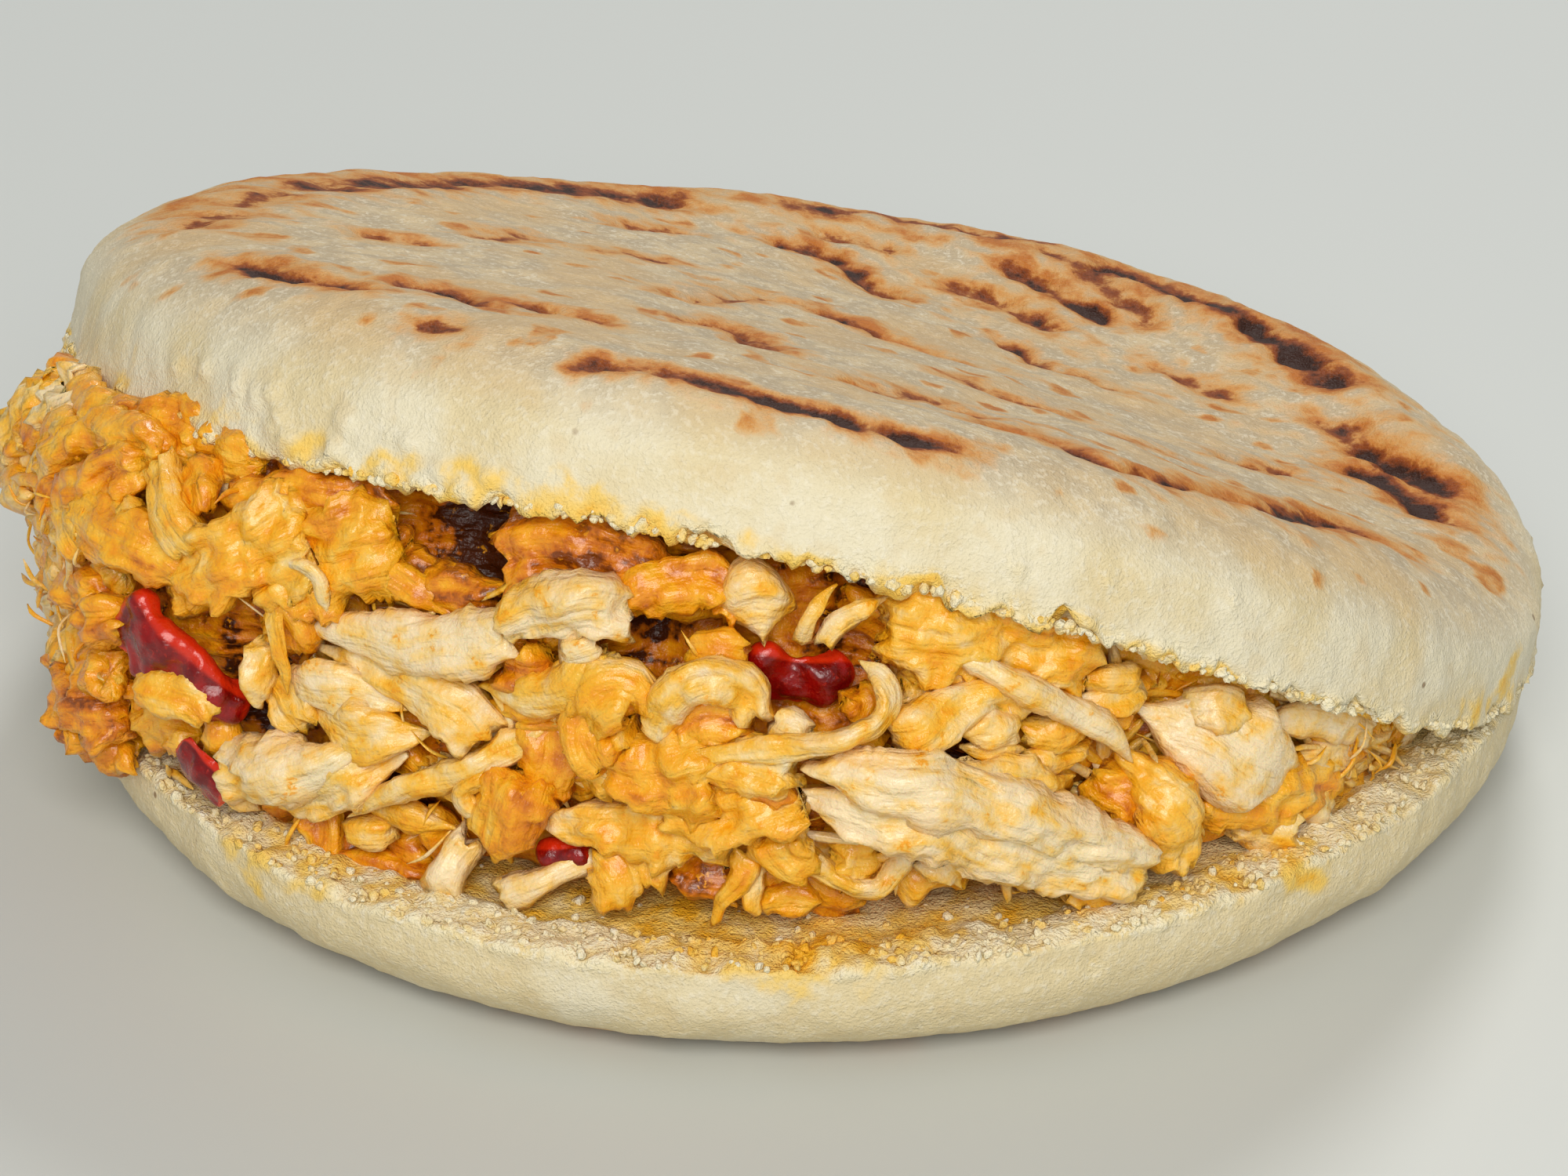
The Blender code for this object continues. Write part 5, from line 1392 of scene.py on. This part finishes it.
    ("left low b", [(-51.8, -25.2, 12.5), (-49.3, -29.3, 13.2), (-46.4, -30.5, 13.5)], [3.4, 4.8, 4.0], 3.2, 0, 0.74, 0.2, 0.5, "bb"),
    ("left low c", [(-51.0, -27.9, 10.9), (-49.4, -25.5, 8.3), (-46.4, -29.9, 10.5)], [3.0, 4.0, 3.0], 2.6, 0, 0.7, 0.2, 0.45, "bb"),
    ("left drip", [(-47.5, -28.8, 9.9), (-46.6, -31.0, 9.9), (-46.2, -31.7, 9.2)], [2.6, 2.0, 1.0], 1.4, 0, 0.62, 0.2, 0.3, "bt"),
    ("yellow lumps", [(-44.8, -34.9, 18.8), (-42.6, -37.0, 19.1), (-40.4, -37.6, 18.9), (-39.4, -37.5, 18.0)], [2.8, 4.0, 3.8, 2.6], 2.8, 0, 0.45, 0.3, 0.35, "bb"),
    ("bent fibres", [(-45.1, -29.9, 11.8), (-43.2, -33.5, 14.4), (-41.1, -34.9, 14.6)], [3.0, 4.0, 3.0], 1.8, 0, 0.6, 0.7, 0.2, "bb"),
    ("fibre post", [(-39.2, -35.6, 16.9), (-39.0, -36.8, 15.7), (-39.3, -35.7, 13.3)], [2.2, 2.8, 2.2], 1.8, 0, 0.58, 0.6, 0.2, "bb"),
    ("top left mass", [(-47.8, -23.2, 32.7), (-44.0, -27.5, 34.5), (-39.9, -30.2, 35.0), (-36.1, -35.0, 35.6)], [3.4, 4.6, 4.4, 3.6], 2.8, 0, 0.6, 0.4, 0.35, "bb"),
]


# ------------------------------------------------------------------ the pepper
def make_pepper(name, material, middle, length, width, thick, curl, turn, seed, lobes=0.0, taper=0.0):
    """A curled, softened strip: its skin outside, wrinkled, and its cut edges bright."""
    along = np.linspace(-0.5, 0.5, max(14, int(length / 0.22)))
    around = int(np.clip(2.3 * (width + thick) / 0.24, 20, 64))
    around += around % 2
    a = np.arange(around) * 2 * math.pi / around
    across = np.sign(np.cos(a)) * np.abs(np.cos(a)) ** 0.7
    up = np.sign(np.sin(a)) * np.abs(np.sin(a)) ** 0.75
    bendy = math.radians(max(curl, 1))
    radius = length / bendy
    rows = []
    for s in along:
        d = 0.5 - abs(s)
        full = math.sqrt(max(1 - (1 - min(d / 0.16, 1)) ** 2, 0.02))
        w = width * (0.35 + 0.65 * full) * (1 + lobes * math.sin(s * 9 + 0.6)) * (1 - taper * smooth(s + 0.4))
        h = thick * (0.45 + 0.55 * full)
        angle = s * bendy
        row = np.zeros((around, 3))
        v = across * w / 2
        q = up * h / 2 - 0.10 * w * (across**2 - 0.4)
        row[:, 0] = (radius + q) * math.sin(angle)
        row[:, 1] = -((radius + q) * math.cos(angle) - radius)
        row[:, 2] = v
        rows.append(row)
    grid = np.array(rows)
    local = grid.reshape(-1, 3)
    still = local + seed * 7.1
    wave = 0.75 * noise(still, 3.2, seed) + 0.4 * noise(still, 1.6, seed + 1) + 0.12 * noise(still, 0.7, seed + 2)
    n = len(along)
    i = np.arange(n - 1)[:, None] * around
    j = np.arange(around)[None, :]
    k = (j + 1) % around
    quads = np.stack([i + j, i + k, i + around + k, i + around + j], -1).reshape(-1, 4)
    j, k = j.ravel(), k.ravel()
    last = (n - 1) * around
    tris = np.vstack(
        [
            np.stack([np.full(around, n * around), k, j], -1),
            np.stack([np.full(around, n * around + 1), last + j, last + k], -1),
        ]
    )
    points = np.vstack([local, local[:around].mean(0), local[-around:].mean(0)])
    faces = [quads, tris]
    normals = corner_normals(points, faces)
    if (normals[: len(local)] * (local - local.mean(0))).sum() < 0:
        faces = [f[:, ::-1] for f in faces]
        normals = -normals
    points = points + normals * np.append(wave, [0, 0])[:, None] * min(1.0, thick * 0.55)
    spin = (
        Matrix.Rotation(math.radians(turn[0]), 3, "Z")
        @ Matrix.Rotation(math.radians(turn[1]), 3, "X")
        @ Matrix.Rotation(math.radians(turn[2]), 3, "Y")
    )
    points = points @ np.array(spin).T + np.array(middle)
    edge = np.tile(smooth((np.abs(across) - 0.72) / 0.25), n)
    tip = np.repeat(smooth((np.abs(along) - 0.40) / 0.08), around)
    edge = np.append(np.maximum(edge, tip), [1, 1])
    return make_mesh(name, points, faces, material, {"edge": edge})


# ------------------------------------------------------------------ the pieces
cake_look, chicken_look, pepper_look = cake_material(), chicken_material(), pepper_material()
lid, base = make_lid(cake_look), make_base(cake_look)
crumbs = edge_crumbs(cake_look)
# the core's darker ramp end is painted shade for the gaps and hollows between the shreds
core = make_core(chicken_material("shredded_chicken_painted_shade", (74, 30, 3), 0.12, 0.3))

front = Heap()
for n, (label, line, widths, thick, face, tone, fibre, rough, ends) in enumerate(HEROES):
    line = np.array(line)
    middle = line[len(line) // 2]
    radial = np.array([middle[0] - HEAP_CENTRE[0], middle[1] - HEAP_CENTRE[1], 0.0])
    radial /= np.linalg.norm(radial)
    outward = 0.55 * radial + 0.45 * np.array([0.0, -0.89, 0.456])
    outward /= np.linalg.norm(outward)
    plain = fibre < 0.2 and rough < 0.2
    shred(
        front, line, widths, min(thick, 0.55 * max(widths) + 0.3), outward, face, tone, fibre, rough, ends, seed=900 + n, step=0.36,
        ruffle=0.15 if plain else 0.25 + 0.9 * rough, slab=7.0 if plain else 4.0, split=0.1 if plain else 0.7,
    )

rest = Heap()
rng = np.random.default_rng(5)
LEFT, RIGHT = math.radians(-262), math.radians(8)


def in_front(p):
    return p[1] < -22 and p[0] < 44 and p[0] > -52


# pulpy lumps over the core, everywhere
loose_shreds(rest, rng, 300, (LEFT, RIGHT), (0.03, 0.97), (3, 8), (2.2, 4.6), (0.5, 0.85), (-2.2, -0.9), (0.4, 0.9), ruffles=(0.5, 1.0))
# strips, everywhere, lower where the front shows them under the larger pieces
loose_shreds(rest, rng, 170, (LEFT, RIGHT), (0.05, 0.95), (5, 12), (1.2, 3.2), (0.22, 0.7), (-1.5, -0.3), (0.1, 0.6))
# the loose top layer, away from the front
loose_shreds(rest, rng, 240, (LEFT, RIGHT), (0.05, 0.93), (5, 15), (1.6, 5.0), (0.10, 0.66), (-0.2, 1.0), (0.1, 0.7), skip=in_front, ruffles=(0.1, 0.9))
# thin threads and single fibres
threads = Heap()
loose_shreds(threads, rng, 190, (LEFT, RIGHT), (0.08, 0.92), (4, 11), (0.45, 1.0), (0.15, 0.6), (-0.4, 0.8), (0.05, 0.3), tilt=0.9)
wisps(threads, rng, 260, (LEFT, RIGHT), (0.08, 0.92))

pieces = [front.build("chicken_large_shreds", chicken_look), rest.build("chicken_small_shreds", chicken_look), threads.build("chicken_threads", chicken_look)]
peppers = [
    make_pepper("pepper_strip_1", pepper_look, (-42.2, -36.6, 20.4), 11.6, 6.2, 1.8, 70, (-28, 8, 30), 301, 0.12, 0.5),
    make_pepper("pepper_strip_2", pepper_look, (-40.6, -37.0, 12.7), 5.2, 4.4, 1.4, 20, (-45, 14, 28), 311),
    make_pepper("pepper_strip_3", pepper_look, (0.5, -48.2, 27.0), 7.2, 4.2, 1.7, 40, (4, 12, 6), 321),
    make_pepper("pepper_strip_4", pepper_look, (-15.0, -47.2, 12.3), 4.0, 2.6, 1.3, 30, (-14, 10, -16), 331),
]
for piece in (lid, base, crumbs):
    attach(piece, "root")
    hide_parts("corn_cake")
for piece in (core, *pieces):
    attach(piece, "root")
    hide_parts("chicken_filling")
for k, piece in enumerate(peppers, 1):
    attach(piece, "root")
    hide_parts(f"red_pepper_{k}")
for piece in (lid, base, crumbs, core, *pieces, *peppers):
    print(piece.name, sum(len(p.vertices) - 2 for p in piece.data.polygons), "triangles")

# ------------------------------------------------------------------ the floor, light and camera
floor_mesh = bpy.data.meshes.new("floor")
floor_mesh.from_pydata([(-2, -1.2, 0), (2, -1.2, 0), (2, 2.6, 0), (-2, 2.6, 0)], [], [(0, 1, 2, 3)])
floor_mesh.materials.append(floor_material())
floor = bpy.data.objects.new("floor", floor_mesh)
bpy.context.scene.collection.objects.link(floor)


def area_light(name, place, aim, size, power, colour):
    light = bpy.data.lights.new(name, "AREA")
    light.shape = "DISK"
    light.size, light.energy, light.color = size, power, colour
    lamp = bpy.data.objects.new(name, light)
    lamp.location = place
    lamp.rotation_euler = (Vector(aim) - Vector(place)).to_track_quat("-Z", "Y").to_euler()
    bpy.context.scene.collection.objects.link(lamp)
    return lamp


area_light("window", (0.15, 0.65, 0.70), (0, 0, 0.02), 0.3, 3.2, (1.0, 0.99, 0.97))
area_light("front", (-0.02, -0.80, 0.60), (0, 0, 0.02), 0.6, 7.1, (1.0, 0.97, 0.92))

world = bpy.data.worlds.new("studio")
world.use_nodes = True
world.node_tree.nodes["Background"].inputs[0].default_value = (0.96, 0.98, 1.0, 1)
world.node_tree.nodes["Background"].inputs[1].default_value = 0.36
bpy.context.scene.world = world
bpy.context.scene.view_settings.view_transform = "Standard"

ELEVATION, ROLL, DISTANCE = math.radians(27.161), math.radians(1.1963), 0.380
target = Vector((-0.594, 0.0, 8.976)) * MM
back = Vector((0, -math.cos(ELEVATION), math.sin(ELEVATION)))
right, up = Vector((1, 0, 0)), Vector((0, math.sin(ELEVATION), math.cos(ELEVATION)))
side_way = math.cos(ROLL) * right + math.sin(ROLL) * up
up_way = -math.sin(ROLL) * right + math.cos(ROLL) * up
lens = bpy.data.cameras.new("camera")
lens.sensor_width = 36
lens.lens = 6374.2 * 36 / 2000
lens.clip_start, lens.clip_end = 0.01, 20
camera = bpy.data.objects.new("camera", lens)
camera.matrix_world = Matrix.Translation(target + DISTANCE * back) @ Matrix(
    [
        (side_way.x, up_way.x, back.x, 0),
        (side_way.y, up_way.y, back.y, 0),
        (side_way.z, up_way.z, back.z, 0),
        (0, 0, 0, 1),
    ]
)
bpy.context.scene.collection.objects.link(camera)
bpy.context.scene.camera = camera
